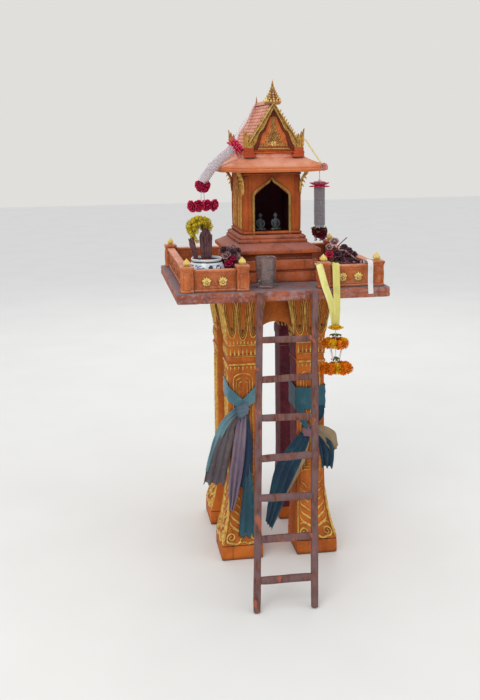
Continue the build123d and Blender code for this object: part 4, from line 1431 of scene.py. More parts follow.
def figurines():
    low, high = span("figurines")
    figure = fused(seated_figure(), 0.75)
    shape = Shape()
    for side in (-1, 1):
        place = vec(side * (high.x - 16), (low.y + high.y) / 2 + 1, low.z)
        shape.add([p + place for p in figure.points], figure.faces)
    shape.show("figurines", figure_grey, "figure_paint", 180)


def foot_of(node):
    """The middle of a node's underside."""
    centre, half = extent(node)
    return centre - Z * half.z


def pot():
    foot = foot_of("incense_pot")
    shape, sand = shapes(2)
    outline = [(0.5, 0), (30, 0), (32.6, 0.8), (33, 4), (35.5, 8), (42, 17), (49.5, 29), (54.5, 41),
               (55.6, 51), (54.6, 61), (51, 71), (47.6, 77), (45.8, 80.4), (45.6, 82.8), (46.8, 85.6),
               (47, 88.2), (46, 89.9), (44.6, 89.6), (43, 87), (42, 83), (44, 77), (48.6, 69), (50.8, 60),
               (51, 50), (48, 38), (42, 25), (33, 11), (28, 7), (0.5, 6.5)]
    lathe(shape, foot, outline, 44)
    shape.show("incense_pot", pot_glaze, "porcelain", 60)
    rows = []
    for radius, z in ((0.4, 38), (38, 42), (46.5, 56), (47.2, 69), (40, 71.4), (26, 70.8), (12, 72),
                      (0.4, 72.4)):
        bumps = [noise.noise(vec(radius, k * 0.5, 3)) * 1.6 if z > 70 else 0 for k in range(36)]
        rows.append([foot + around(a, radius, z=z + bump) for a, bump in zip(turns(36), bumps)])
    sand.skin(rows)
    sand.show("incense_sand", sand_grey, "pot_sand", 60)
    incense(foot)
    wreath(foot)


def incense(foot):
    """Burnt sticks: one dense upright bundle and a thinner one that leans to the left."""
    sticks, stems = shapes(2)
    plan = ((vec(0, 0), vec(-2, -2), 14, 19, 150, 182, 8), (vec(-26, -4), vec(-46, -8), 5, 8, 34, 176, 22))
    for root_at, tip_at, root_spread, tip_spread, count, tall, uneven in plan:
        for number in range(count):
            share = sqrt((number + 0.5) / count)
            way = around(number * golden_turn)
            root = foot + root_at + way * share * root_spread + Z * 66
            tip = foot + tip_at + way * share * tip_spread + Z * (tall - vary(0, uneven) - 24 * share ** 2)
            tip += vec(vary(-2, 2), vary(-2, 2))
            knee = root.lerp(tip, 0.3)
            tube(stems, [root, knee], 0.9, 5)
            tube(sticks, [knee, root.lerp(tip, 0.65) + vec(vary(-0.8, 0.8), vary(-0.8, 0.8)), tip],
                 [1.5, 1.6, 1.4], 5)
    sticks.show("incense_sticks", stick_brown, "incense")
    stems.piece("incense_stems", stick_red, "incense")


def petal(shape, root, out, up, length, width, cup=0.3, thick=0.5):
    """One thin petal that leaves root along out and curls towards up."""
    out, across = out.normalized(), out.cross(up).normalized()
    over = across.cross(out).normalized()
    rows = []
    for t, share in ((0.0, 0.35), (0.4, 0.9), (0.75, 1.0), (1.0, 0.45)):
        spot = root + out * (length * t) + over * (cup * length * t * t)
        lift = over * (width * 0.16 * share)
        half = across * (width / 2 * share)
        rows.append([spot - half + lift, spot + over * thick, spot + half + lift, spot - over * thick])
    shape.skin(rows)


def jitter(amount):
    return vec(vary(-amount, amount), vary(-amount, amount), vary(-amount, amount))


def pompom(shape, centre, radius, count=60, squash=0.8, length=0.5, width=0.42):
    """A round flower head of many overlapping petals."""
    ball(shape, centre, (radius * 0.62, radius * 0.62, radius * 0.62 * squash), 8, 6)
    for number in range(count):
        z = 1 - 2 * (number + 0.5) / count
        angle = number * golden_turn + vary(-0.2, 0.2)
        out = around(angle, sqrt(max(0, 1 - z * z)), z=z)
        spot = centre + vec(out.x, out.y, out.z * squash) * radius * (1 - length * 0.85)
        tilt = jitter(0.3)
        up = vec(-sin(angle) * 0.4, cos(angle) * 0.4, 1)
        petal(shape, spot, out + tilt, up, radius * length, radius * width, vary(-0.1, 0.4), radius * 0.04)


def pair_across(axis):
    """Two directions at right angles to an axis and to each other."""
    a = axis.orthogonal().normalized()
    return a, axis.cross(a)


def rose(shape, centre, axis, radius):
    """A closed rose: three whorls of cupped petals."""
    axis = axis.normalized()
    a, b = pair_across(axis)
    ball(shape, centre, (radius * 0.5,) * 3, 8, 6)
    for whorl, (count, spread, tall) in enumerate(((3, 0.25, 0.95), (5, 0.5, 0.8), (6, 0.8, 0.5))):
        for k in range(count):
            angle = 2 * pi * (k + 0.37 * whorl) / count + vary(-0.2, 0.2)
            way = a * cos(angle) + b * sin(angle)
            root = centre - axis * radius * 0.35 + way * radius * 0.22
            petal(shape, root, way * (spread + 0.15) + axis * tall, axis - way * 0.4, radius * 1.15,
                  radius * (0.95 + 0.15 * whorl), 0.35 - 0.5 * spread, radius * 0.05)


def bud_tube(shape, line, radius, count=20, gap=3.9, tilt=0.35):
    """White buds threaded side by side round a core, their tips outwards, along a line."""
    tube(shape, line, radius * 0.8, count)
    spots = frames(line)
    lengths = [0.0]
    for p, q in zip(line, line[1:]):
        lengths.append(lengths[-1] + (q - p).length)
    here = 0
    for number in range(int(lengths[-1] / gap)):
        walked = (number + 0.5) * gap
        while here < len(lengths) - 2 and lengths[here + 1] < walked:
            here += 1
        share = (walked - lengths[here]) / max(1e-6, lengths[here + 1] - lengths[here])
        start, along, a, b = spots[here]
        centre = start.lerp(spots[here + 1][0], share)
        for k in range(count):
            angle = 2 * pi * (k + 0.5 * (number % 2)) / count
            out = ((a * cos(angle) + b * sin(angle)) + along * tilt).normalized()
            wide = radius * 0.15 * vary(0.85, 1.1)
            side_a, side_b = pair_across(out)
            rows = []
            for t, width in ((0.7, 0.7), (0.88, 1.0), (0.98, 0.7), (1.04, 0.15)):
                spot = centre + out * (radius * t * vary(0.985, 1.015))
                rows.append([spot + (side_a * cos(turn) + side_b * sin(turn)) * wide * width
                             for turn in turns(5)])
            shape.skin(rows)


def petal_ring(shape, centre, axis, hub, length, width, count, layers=3):
    """Petals in layers round a tube, all pointing away from its axis."""
    axis = axis.normalized()
    a, b = pair_across(axis)
    for layer in range(layers):
        lean = (layer - (layers - 1) / 2) * 0.55
        for k in range(count):
            angle = 2 * pi * (k + 0.37 * layer) / count + vary(-0.12, 0.12)
            way = a * cos(angle) + b * sin(angle)
            root = centre + way * hub + axis * lean * 5
            petal(shape, root, way + axis * lean, axis, length * vary(0.85, 1.05), width, 0.15, 1.2)


def wreath(foot):
    """Yellow flowers in a dense ring with a small hole, over the incense and behind its right half."""
    shape = Shape()
    centre = foot + vec(-19, 4, 183)
    for radius, count, depth, size in ((30, 20, 8, 10), (30, 19, -8, 10), (19, 13, 12, 10),
                                       (18, 12, -13, 9.5), (9, 6, 6, 9)):
        for step in range(count):
            angle = radians(-42 + 270 * step / (count - 1))
            behind = 22 * limit((radians(100) - angle) / radians(60))
            spot = centre + vec(cos(angle) * radius * 1.08, depth + behind, sin(angle) * radius * 0.84)
            pompom(shape, spot + jitter(2.5), size * vary(0.85, 1.05), 30, 0.9, 0.6, 0.22)
    for step in range(7):
        spot = centre + vec(-30 + 3.2 * step, -14, -14 - 4.5 * step)
        pompom(shape, spot + jitter(2), 7.5, 26, 0.9, 0.6, 0.24)
    shape.show("yellow_flowers", yellow_petal, "yellow_petals")


def tumbler():
    tall = extent("water_glass")[1].z * 2
    shape = Shape()
    outline = [(0.4, 0), (25, 0), (27.4, 0.8), (28, 3), (27.6, 6.5), (27.9, 8), (28.6, 9.5), (28, 11),
               (28.2, 13), (29, 15), (28.6, 17), (29.2, 30), (32.2, tall - 3), (32.5, tall - 0.8),
               (31.6, tall), (30.4, tall - 0.8), (29.6, tall - 4), (26.6, 30), (25.6, 17), (23, 14.4),
               (12, 13.6), (0.4, 13.6)]
    lathe(shape, foot_of("water_glass"), outline, 40)
    shape.show("water_glass", clear_glass, "clear_glass", 50)


def left_garland():
    """A jasmine tube over the left eave, with a red cluster and roses on strings under its end."""
    low = span("skirt_roof")[0]
    inset, bend_start = 177, 128
    y = low.y + 62
    hub = vec(low.x + inset, y, low.z + 17 - inset)
    reach = inset * sqrt(2) + 17.3
    arc = [hub + vec(cos(radians(a)), 0, sin(radians(a))) * reach for a in range(bend_start, 151, 2)]
    along = vec(sin(radians(bend_start)), 0, -cos(radians(bend_start)))
    line = [arc[0] + along * t for t in (40, 26, 13)] + arc
    end, start = line[-1], line[0] + along * 4
    buds, roses, pinks, threads = shapes(4)
    bud_tube(buds, line, 16.4)
    petal_ring(pinks, start, along, 11, 20, 12, 12)
    petal_ring(pinks, start + along * 8, along, 4, 19, 11, 9, 2)
    for x, z, size in ((-11, -10, 12), (1, -7, 11), (12, -11, 12), (-6, -21, 11), (8, -22, 11), (1, -15, 12)):
        rose(roses, end + vec(x, vary(-9, 5), z), vec(x, -14, z + 8), size)
        rose(roses, end + vec(x * 0.8, vary(8, 14), z - 2), vec(x, 14, z), size)
    low_roses = end.z - 57
    for x in (-6, 5):
        tube(threads, [end + vec(x * 0.6, 0, -24), (end.x + x, y, low_roses - 4)], 1.4, 5)
    for x in (-33, -12, 11, 33):
        for deep in (-9, 9):
            spot = vec(end.x + x, y + deep, low_roses - 17 + vary(-3, 3))
            rose(roses, spot, vec(x * 0.8, deep * 2.4, -6), 15.5 if abs(x) > 20 else 15)
    tie = [line[0] + along * 8, (-100, y + 50, 1318), (-60, y + 130, 1358), (-9, y + 234, 1426)]
    bud_tube(buds, rounded(tie, 5), 6.0, 9, 4.4)
    buds.piece("garland_left_buds", white_petal, "white_petals", ["garland_left"])
    roses.piece("garland_left_roses", rose_petal, "white_petals")
    pinks.piece("garland_left_flower", pink_petal, "white_petals")
    threads.piece("garland_left_threads", thread_white, "white_petals")


def right_garland():
    """A jasmine tube hung under the right eave corner, its white buds painted grey as the eave's shade, with
    a ring of petals and a dark bunch.
    """
    foot = foot_of("garland_right")
    x, y, low = foot
    eave = span("skirt_roof")[0].z
    tube_top = eave - 38
    buds, roses, rings, greens, pinks, threads = shapes(6)
    bud_tube(buds, [vec(x, y, tube_top - 9.6 * step) for step in range(15)], 18.4, 20, 4.2, -0.5)
    tube(threads, [(x, y, tube_top), (x + 1, y + 1, eave + 4)], 1.3, 5)
    petal_ring(rings, vec(x, y, tube_top - 5), Z, 14, 18, 12, 14, 2)
    ball(pinks, vec(x, y - 4, tube_top + 8), (5.5, 5.5, 7))
    corner = vec(x + 8, y - 14, eave + 15)
    for reach, count, lift in ((15, 8, 0.1), (13, 7, 0.5), (9, 6, 1.2)):
        for k in range(count):
            angle = 2 * pi * (k + 0.4 * lift) / count
            way = vec(cos(angle), -0.2 - lift, sin(angle) * 0.85)
            petal(pinks, corner - Y * lift * 3, way, -Y, reach, reach * 0.75, 0.25, 0.9)
    tie = [corner + vec(-2, 4, 8), (x - 18, y + 4, eave + 62), (x - 42, y + 8, eave + 100)]
    tube(threads, rounded(tie, 5), 2.6, 6)
    for k in range(10):
        way = around(k * 2.4)
        rose(roses, foot + way * 13 + Z * (26 + vary(-9, 8)), way - Z * 0.3, 13)
    for k in range(16):
        way = around(k * 2.4 + 0.6, z=vary(-0.6, 0.6))
        petal(greens, foot + Z * 38 + way * 7, way, Z, 20, 12, -0.2, 0.7)
    for k in range(5):
        spot = vec(x + (k - 2) * 8, y + (7 if k % 2 else -7), low + 20)
        tube(threads, [spot, spot - Z * 14], 0.8, 4)
        for drop in (9, 16):
            ball(buds, spot - Z * drop, (2.6, 2.6, 3.6), 6, 5)
    # The buds take the grey jasmine: painted shade of the eave.
    buds.piece("garland_right_buds", shaded_jasmine, "white_petals", ["garland_right"])
    roses.piece("garland_right_roses", dark_rose, "white_petals")
    rings.piece("garland_right_ring", rose_petal, "white_petals")
    greens.piece("garland_right_leaves", leaf_green, "white_petals")
    pinks.piece("garland_right_flowers", pale_pink, "white_petals")
    threads.piece("garland_right_threads", thread_cream, "white_petals")


def marigolds():
    """Two rings of marigolds on strings under a yellow flower."""
    x, y, low = foot_of("marigolds")
    top = span("marigolds")[1].z
    ring_low = top - 70
    heads, golds, greens, beads = shapes(4)
    for k, angle in enumerate(turns(9)):
        spot = vec(x + cos(angle) * 27, y + sin(angle) * 25, ring_low + 17 + vary(-2, 2))
        pompom(heads if k % 3 else golds, spot, 14, 70, 0.95)
    for x_at, y_at in ((-36, -4), (-17, -12), (2, -8), (20, -13), (37, -4), (-26, 12), (-4, 13), (18, 12),
                       (34, 10)):
        spot = vec(x + x_at, y + y_at, low + 23 + vary(-2, 2))
        pompom(heads if x_at != 2 else golds, spot, 16.5 if abs(x_at) < 35 else 15.5, 80, 1.1)
    tube(beads, [(x, y, low + 30), (x, y, top - 4)], 1.2, 5)
    for side in (-1, 1):
        tube(beads, rounded([(x + side * 16, y - 6, ring_low + 6), (x + side * 13, y - 8, ring_low - 14),
                             (x + side * 10, y - 6, ring_low - 36)], 3), 1.0, 5)
        for step in range(4):
            ball(beads, vec(x + side * (15.5 - step * 1.6), y - 7, ring_low - 4 - step * 7.5),
                 (3.4, 3.4, 3.8), 8, 6)
    for angle in turns(8):
        way = around(angle, z=-0.5)
        petal(greens, vec(x, y, top - 24) + way * 4, way, Z, 15, 9, 0.2, 0.8)
        petal(greens, vec(x, y, ring_low - 24) + way * 3, way, Z, 14, 8, -0.3, 0.7)
    for angle in turns(9):
        way = around(angle, 1, 0.8, 0.25)
        petal(golds, vec(x, y, top - 15) + way * 4, way, Z, 22, 12, 0.1, 0.8)
        petal(golds, vec(x, y, top - 11) + way * 3, way + Z * 0.5, Z, 15, 9, 0.1, 0.8)
    heads.show("marigolds", orange_petal, "orange_petals")
    golds.piece("marigolds_yellow", gold_petal, "orange_petals")
    greens.piece("marigolds_leaves", leaf_green, "orange_petals")
    beads.piece("marigolds_beads", white_petal, "orange_petals")


def dried():
    """Old garlands in heaps in the trays, wilted roses on them, and a dried bundle beside the pot."""
    low, high = span("dried_flowers")
    strings, heads, pale, reds = shapes(4)
    for corner, size, strands, count in (
            (vec(high.x - 114, low.y, low.z), vec(114, 90, 92), 9, 230),
            (vec(high.x - 50, low.y + 84, low.z), vec(50, 156, 48), 5, 110),
            (vec(low.x, pot_high.y + 9, low.z), vec(118, 78, 80), 8, 190)):
        heap(corner, size, strands, count, strings, heads, pale)
    bundle(low, strings, heads, pale, reds)
    for x, y, z, size, target in ((149, -233, 957, 10, reds), (151, -226, 978, 9, pale),
                                  (170, -215, 992, 12, pale), (178, -218, 956, 12, heads),
                                  (196, -212, 961, 12, heads), (217, -208, 960, 12, heads),
                                  (204, -204, 972, 10, heads), (234, -200, 948, 11, heads),
                                  (226, -180, 956, 10, heads)):
        rose(target, vec(x, y, z), vec(-0.2, -0.7, 0.7), size)
        tube(strings, rounded([(x + 14, y + 12, 936), (x + 4, y + 10, z - 16), (x, y, z)], 3), 1.6, 5)
    tube(strings, rounded([(178, -204, 944), (184, -205, 976), (213, -205, 1003)]), 1.6, 5)
    tube(pale, rounded([(180, -214, 966), (206, -216, 962), (244, -206, 932)]), 2.4, 6)
    reds.piece("dried_flowers_red", rose_petal, "dried_petals")
    strings.show("dried_flowers", dry_petal, "dried_petals")
    heads.piece("dried_flowers_heads", dry_petal, "dried_petals")
    pale.piece("dried_flowers_pale", dry_pale, "dried_petals")


def heap(corner, size, strands, count, strings, heads, pale):
    """A pile of old garlands in a box: a lumpy middle, strands laid over it and loose petals."""
    half = size / 2
    centre = corner + vec(half.x, half.y, size.z * 0.42)
    core = Shape()
    ball(core, centre, (half.x * 0.86, half.y * 0.86, size.z * 0.42), 22, 13)
    for p in core.points:
        p += noise.noise_vector(p / 16) * 5
        p.z = max(p.z, corner.z + 0.5)
    strings.add(core.points, core.faces)

    def on_top(u, v, lift):
        """A point over the pile; u and v run from -1 to 1 across it."""
        rise = sqrt(max(0.0, 1 - 0.75 * (u * u + v * v) / 1.3))
        z = 6 + (size.z - 12) * rise * (0.86 + 0.14 * noise.noise(vec(u * 3, v * 3, size.z))) + lift
        return vec(centre.x + u * half.x * 0.92, centre.y + v * half.y * 0.92, corner.z + min(z, size.z + 2))

    for strand in range(strands):
        v = -0.85 + 1.7 * strand / (strands - 1)
        path = [on_top(-0.95 + 1.9 * step / 7, v + vary(-0.22, 0.22), vary(-4, 1)) for step in range(8)]
        line = rounded(path, 5)
        target, thickness = (pale, 0.6) if strand % 4 == 2 else (strings, 1)
        tube(target, line, [vary(3.0, 4.8) * thickness for _ in line], 7)
    for _ in range(count):
        u, v = vary(-0.95, 0.95), vary(-0.95, 0.95)
        out = vec(u * 0.6 + vary(-0.6, 0.6), v * 0.6 + vary(-0.6, 0.6), vary(0.2, 1))
        petal(heads if chance.random() < 0.85 else pale, on_top(u, v, -3), out, Z + out * 0.3, vary(8, 15),
              vary(5, 9), vary(0, 0.6), 0.5)


def bundle(low, strings, heads, pale, reds):
    """Dried stems that lean beside the pot, with wilted roses among them."""
    foot = vec(pot_high.x + 17, (pot_low.y + pot_high.y) / 2, low.z)
    stems = 34
    for number in range(stems):
        way = around(number * 2.4) * sqrt((number + 0.5) / stems)
        root = foot + way * 9 + Z * 2
        tip = foot + vec(way.x * 25 - 4, way.y * 16 + 6, vary(62, 124))
        tube(strings, rounded([root, root.lerp(tip, 0.5) + vec(vary(-2, 2), vary(-2, 2)), tip], 3), 1.5, 5)
        target = heads if number % 4 else pale
        for _ in range(12):
            out = vec(vary(-1, 1), vary(-1, 1), vary(-0.4, 1))
            petal(target, root.lerp(tip, vary(0.35, 1)), out, Z, vary(8, 13), vary(6, 9), 0.3, 0.5)
    for x, y, z, size, target in ((-14, -10, 96, 12, pale), (6, -12, 106, 11, heads), (20, -8, 90, 11, pale),
                                  (-8, -15, 72, 11, reds), (14, -14, 66, 12, heads), (-2, 4, 116, 11, pale),
                                  (24, 2, 108, 9, heads), (-20, 0, 112, 10, heads), (4, -16, 88, 9, reds)):
        rose(target, foot + vec(x, y, z), vec(x * 0.03, -0.6, 0.8), size)


# Cloth

def cloth(name, material, slot, rows, replaces=()):
    """A sheet from rows of points; the length down its middle is worked out but not used."""
    shape = Shape()
    shape.skin(rows, False, False)
    thing = shape.piece(name, material, slot, replaces, 180)
    length = sum((b[len(b) // 2] - a[len(a) // 2]).length for a, b in zip(rows, rows[1:])) / 1000


def along_line(line, t):
    """The point at a share of a line."""
    spot = t * (len(line) - 1)
    i = min(int(spot), len(line) - 2)
    return line[i].lerp(line[i + 1], spot - i)


def tail_rows(left, right, y_top, y_low, folds, depth, phase, hem, cuts=34, steps=46):
    """Hanging cloth between two edges given in (x, z), with folds that open towards its end."""
    left, right = (rounded([(x, z, 0) for x, z in edge], 12) for edge in (left, right))
    rows = []
    for step in range(steps + 1):
        t = step / steps
        a, b = along_line(left, t), along_line(right, t)
        fade = 0.35 + 0.65 * t
        row = []
        for cut in range(cuts + 1):
            s = cut / cuts
            spot = a.lerp(b, s)
            drift = 0.12 * noise.noise(vec(s * 3, t * 2, phase * 9))
            wave = cos(2 * pi * (folds * s + phase + 0.25 * t + drift))
            y = y_top + (y_low - y_top) * min(1, t * 2.2) - depth * fade * (0.5 + 0.5 * wave)
            side = depth * 0.35 * fade * sin(2 * pi * (2 * folds * s + phase))
            low_edge = hem * t * (0.5 + 0.5 * cos(2 * pi * (folds * s + phase))) if t > 0.8 else 0
            wrinkle = noise.noise_vector(vec(s * 5, t * 7, phase * 5)) * 1.6
            row.append(vec(spot.x + side * 0.4, y, spot.y - low_edge) + wrinkle)
        rows.append(row)
    return rows


def band_rows(x, y, half, z_back, z_front, wide_back, wide_front, knot_x, cuts=10):
    """Cloth wound once round a leg, dipping to the knot in front."""
    loop = ring(x, y, half + 3, half + 3, 0, 6, 20, 3)
    front = min(range(len(loop)), key=lambda i: (loop[i] - vec(knot_x, y - half - 3)).length)
    loop = loop[front:] + loop[:front + 1]
    rows = []
    for i, p in enumerate(loop):
        share = i / (len(loop) - 1)
        near = max(0, 1 - min(share, 1 - share) / 0.13)
        height = z_back + (z_front - z_back) * near ** 0.9
        wide = wide_back + (wide_front - wide_back) * near
        out = vec(p.x - x, p.y - y).normalized()
        row = []
        for cut in range(cuts + 1):
            s = cut / cuts - 0.5
            puff = 1.1 + 1.1 * cos(2 * pi * (s * 2.5 + share * 3))
            puff += noise.noise(vec(share * 14, s * 4, x)) * 1.2
            row.append(vec(p.x, p.y, height + s * wide) + out * (puff + 3 * near))
        rows.append(row)
    return rows


def knot_rows(centre, wide, tall, deep, seed, cuts=16, steps=18):
    """The wrap of a knot: a short band of cloth that bulges over the gathered ends."""
    rows = []
    for step in range(steps + 1):
        t = step / steps
        turn = radians(-130 + 260 * t)
        row = []
        for cut in range(cuts + 1):
            s = cut / cuts - 0.5
            reach = 1 - 0.55 * (2 * s) ** 2 + 0.1 * cos(s * 22 + seed)
            reach += 0.08 * noise.noise(vec(t * 4, s * 6, seed))
            row.append(centre + vec(sin(turn) * wide / 2 * reach, -cos(turn) * deep * reach,
                                    s * tall + 4 * sin(turn * 1.3 + seed)))
        rows.append(row)
    return rows


def sash(side, band, knot, tails):
    """A cloth round a front leg: the band, the knot and the tails that hang from it."""
    name, leg_name = "sash_" + side, "leg_front_" + side
    x, y, half = Leg("front", side).section(500)
    face, front = y - half, span(name)[0].y
    (band_cloth, knot_at, *sizes), (knot_cloth, knot_x, knot_z, wide, tall, seed) = band, knot
    wound = band_rows(x, y, half, *sizes, x + knot_at)
    cloth(name + "_band", band_cloth, "sash_cloth", wound, [name])
    wrap = knot_rows(vec(x + knot_x, face - 8, knot_z), wide, tall, 15, seed)
    cloth(name + "_knot", knot_cloth, "sash_cloth", wrap)
    for tail, material, left, right, gap, folds, depth, phase, hem in tails:
        rows = tail_rows(left, right, face - 4, front + gap, folds, depth, phase, hem)
        cloth(name + "_" + tail, material, "sash_cloth", rows)


def sashes():
    """Bands are (cloth, knot's x, heights and widths behind and in front), knots (cloth, x, z, size, seed).

    Tails are (name, cloth, left edge, right edge, distance from the CAD front, folds, their depth,
    phase, hem). The edges are in (x, z).
    """
    sash("left", (cloth_pale, -3, 530, 486, 52, 34), (cloth_knot, -3, 470, 40, 44, 0.0), (
        ("teal", cloth_teal, [(-118, 472), (-112, 300), (-127, 130), (-131, 78)],
         [(-94, 474), (-88, 300), (-80, 130), (-82, 74)], 12, 2.5, 9, 0.15, 10),
        ("navy", cloth_navy, [(-122, 468), (-132, 380), (-150, 300), (-148, 230)],
         [(-96, 462), (-84, 380), (-86, 300), (-100, 236)], 13, 2.0, 7, 0.5, 4),
        ("mauve", cloth_mauve, [(-124, 476), (-178, 438), (-208, 372), (-229, 300), (-240, 258)],
         [(-108, 456), (-134, 424), (-146, 372), (-160, 300), (-168, 250)], 10, 3.4, 11, 0.0, 8),
        # The pale tail is a lighter strip along the upper-left edge of the mauve tail: a painted highlight.
        ("pale", cloth_pale, [(-128, 484), (-182, 442), (-212, 374), (-233, 296)],
         [(-112, 464), (-160, 424), (-192, 366), (-220, 290)], 7, 1.2, 5, 0.3, 4),
        ("lilac", cloth_lilac, [(-122, 470), (-142, 380), (-160, 260), (-162, 168)],
         [(-98, 460), (-104, 380), (-120, 260), (-146, 164)], 5, 2.6, 10, 0.6, 3)))
    sash("right", (cloth_teal, -9, 497, 494, 74, 68), (cloth_pink, -12, 392, 36, 40, 2.0), (
        ("upper_left", cloth_teal, [(60, 470), (62, 440), (84, 402)], [(84, 470), (88, 440), (98, 400)],
         16, 1.2, 5, 0.2, 0),
        ("upper_right", cloth_deep, [(122, 470), (116, 436), (98, 402)], [(150, 470), (142, 440), (108, 400)],
         16, 1.2, 5, 0.6, 0),
        ("deep", cloth_deep, [(84, 398), (40, 362), (-10, 300), (-34, 207), (-47, 122)],
         [(106, 384), (86, 330), (56, 280), (22, 200), (-27, 96)], 8, 3.0, 10, 0.1, 8),
        ("edge", cloth_beige, [(98, 380), (78, 322), (44, 256), (10, 200)],
         [(106, 380), (88, 322), (58, 258), (22, 196)], 5, 0.8, 3, 0.4, 2),
        ("loop", cloth_beige, [(100, 396), (132, 412), (176, 392), (188, 346)],
         [(100, 378), (128, 380), (150, 352), (170, 322)], 9, 1.3, 8, 0.3, 0),
        ("right", cloth_deep, [(104, 384), (122, 360), (130, 318), (134, 284)],
         [(118, 388), (156, 374), (176, 330), (172, 280)], 7, 2.6, 9, 0.7, 8)))


def strip_rows(line, wides, ups, cuts, cup, seed):
    """A narrow strip of cloth along a line; ups are the directions of its width at each point."""
    rows = []
    for i, (p, wide, up) in enumerate(zip(line, wides, ups)):
        along = heading(line, i)
        across = (up - along * up.dot(along)).normalized()
        out = along.cross(across)
        row = []
        for cut in range(cuts + 1):
            s = cut / cuts - 0.5
            bend = cup * cos(s * 9 + i * 0.12 + seed) + 0.6 * noise.noise(vec(i * 0.2, s * 3, seed))
            row.append(p + across * (s * wide) + out * bend)
        rows.append(row)
    return rows


def ribbon():
    """A yellow ribbon round the right gate post, its two ends hanging to the marigolds."""
    low, high = span("ribbon")
    gate_x, gate_y = post_places()[-1]
    front, back = low.y + 1.5, gate_y + 23
    top, foot = high.z - 4, low.z
    left_x, right_x, meet_x = low.x + 11, 152, 150
    line = rounded([
        (meet_x - 2, front - 1, foot + 2), (meet_x - 12, front - 3, foot + 60),
        (left_x + 14, front - 2, foot + 120), (left_x + 1, front, top - 10), (left_x - 1, front + 6, top + 2),
        (gate_x - 22, gate_y - 18, top), (gate_x - 23, gate_y + 12, top), (gate_x - 14, back, top),
        (gate_x + 14, back, top), (gate_x + 23, gate_y + 12, top), (gate_x + 22, gate_y - 18, top),
        (right_x + 1, front + 6, top + 2), (right_x, front, top - 10), (right_x + 1, front - 2, foot + 120),
        (meet_x + 4, front - 3, foot + 60), (meet_x + 2, front - 1, foot + 2)], 6)
    hanging = [limit((gate_y - 14 - p.y) / 14) for p in line]
    ups = [(Z * (1 - share) + X * share).normalized() for share in hanging]
    rows = strip_rows(line, [8 + 13 * share for share in hanging], ups, 8, 1.3, 0.0)
    cloth("ribbon_look", ribbon_satin, "yellow_ribbon", rows, ["ribbon"])


def white_strip():
    low, high = span("white_strip")
    x = (low.x + high.x) / 2
    line = rounded([(x + 1.5, low.y + 2, low.z + 1), (x - 0.5, low.y + 1, low.z + 40),
                    (x + 0.5, low.y + 2, high.z - 14), (x, low.y + 8, high.z - 3),
                    (x, (low.y + high.y) / 2, high.z - 2), (x, high.y - 6, high.z - 4),
                    (x, high.y - 2, low.z + 86)], 7)
    rows = strip_rows(line, [15.4] * len(line), [X] * len(line), 6, 0.8, 3.0)
    cloth("white_strip_look", white_cotton, "white_cloth", rows,
          ["white_strip"])


def offerings():
    figurines()
    pot()
    tumbler()
    left_garland()
    right_garland()
    marigolds()
    dried()
    ribbon()
    white_strip()
    sashes()


# Stage, lights and camera

camera_place = (-0.5531, -2.7455, 1.3219)
camera_yaw = 0.1452
camera_pitch = 0.0873
camera_roll = -0.013
camera_focal = 864
camera_shift = (0.03, -0.2)
frame_height = 700
sensor = 36
aim_height = 0.8
floor_reach = 14.0
floor_drop = 0.0004
floor_tint = (234, 232, 228)
backdrop_tint = (224, 223, 220)
sky_tint = (0.94, 0.97, 1.0, 1)
sky_strength = (0.42, 1.04)


def floor_paint():
    """Pale paint, a shade uneven."""
    finish = Finish("floor", 0.9)
    finish.start(finish.patches(0.3, 0.7, 3.0, 2.0), floor_tint, [value - 3 for value in floor_tint])
    return finish.done()


def floor():
    mesh = bpy.data.meshes.new("floor")
    mesh.from_pydata([vec(x, y) * floor_reach for x, y in ((-1, -1), (1, -1), (1, 1), (-1, 1))], [],
                     [(0, 1, 2, 3)])
    mesh.materials.append(floor_paint())
    thing = placed("floor", mesh)
    thing.location.z = -floor_drop


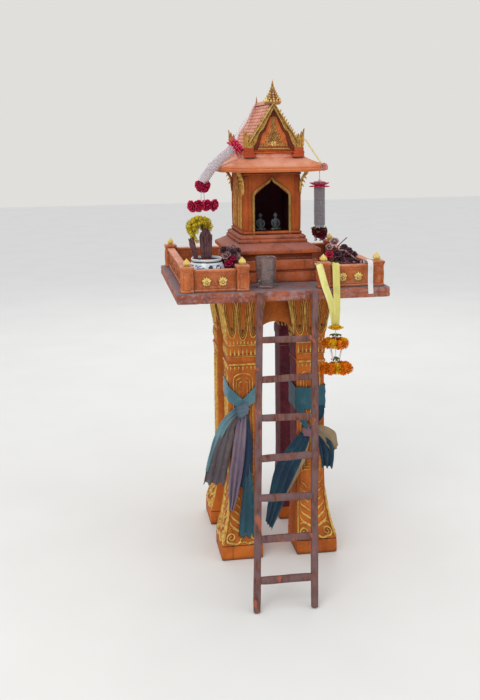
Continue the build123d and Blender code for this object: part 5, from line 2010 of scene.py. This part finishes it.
def world():
    """Sky light that grows upwards, behind a plain pale backdrop for the camera and reflections."""
    studio = bpy.data.worlds.new("studio")
    bpy.context.scene.world = studio
    studio.use_nodes = True
    studio.node_tree.nodes.clear()
    graph = Graph(studio.node_tree)
    towards = graph.node("ShaderNodeTexCoord").outputs["Generated"]
    rise = graph.node("ShaderNodeSeparateXYZ", {0: towards}).outputs["Z"]
    sky = {"Color": sky_tint, "Strength": graph.between(rise, 0.0, 0.9, sky_strength)}
    rays = graph.node("ShaderNodeLightPath").outputs
    seen = graph.maths("MAXIMUM", rays["Is Camera Ray"], rays["Is Glossy Ray"])
    seen = graph.maths("MAXIMUM", seen, rays["Is Transmission Ray"])
    lit = graph.node("ShaderNodeBackground", sky).outputs[0]
    backdrop = graph.node("ShaderNodeBackground", {"Color": colour(*backdrop_tint)}).outputs[0]
    mixed = graph.node("ShaderNodeMixShader", {0: seen, 1: lit, 2: backdrop}).outputs[0]
    graph.node("ShaderNodeOutputWorld", {"Surface": mixed})


def lamp(name, place, size, power, tint=(1, 1, 1)):
    data = bpy.data.lights.new(name, "AREA")
    data.size = size
    data.energy = power
    data.color = tint
    thing = placed(name, data)
    thing.location = place
    aim = vec(0, middle.y, aim_height) - thing.location
    thing.rotation_euler = aim.to_track_quat("-Z", "Y").to_euler()


def camera():
    """The photograph's standpoint, turned and zoomed towards the object."""
    data = bpy.data.cameras.new("camera")
    thing = placed("camera", data)
    ahead = vec(sin(camera_yaw) * cos(camera_pitch), cos(camera_yaw) * cos(camera_pitch), -sin(camera_pitch))
    right = vec(cos(camera_yaw), -sin(camera_yaw))
    up = right.cross(ahead)
    across = right * cos(camera_roll) + up * sin(camera_roll)
    upright = up * cos(camera_roll) - right * sin(camera_roll)
    thing.rotation_euler = Matrix((across, upright, -ahead)).transposed().to_euler()
    thing.location = Vector(camera_place) + middle
    data.sensor_width = sensor
    data.lens = camera_focal / frame_height * sensor
    data.shift_x, data.shift_y = camera_shift
    bpy.context.scene.camera = thing


table()
balustrade()
house()
ladder()
offerings()
floor()
world()
lamp("key", (-2.2, -3.0, 3.4), 2.4, 64, (1, 0.98, 0.95))
lamp("fill", (2.8, -1.8, 2.2), 2.6, 12, (0.95, 0.98, 1))
lamp("back", (0.6, 3.2, 3.0), 2.4, 25)
camera()
bpy.context.scene.view_settings.view_transform = "Standard"
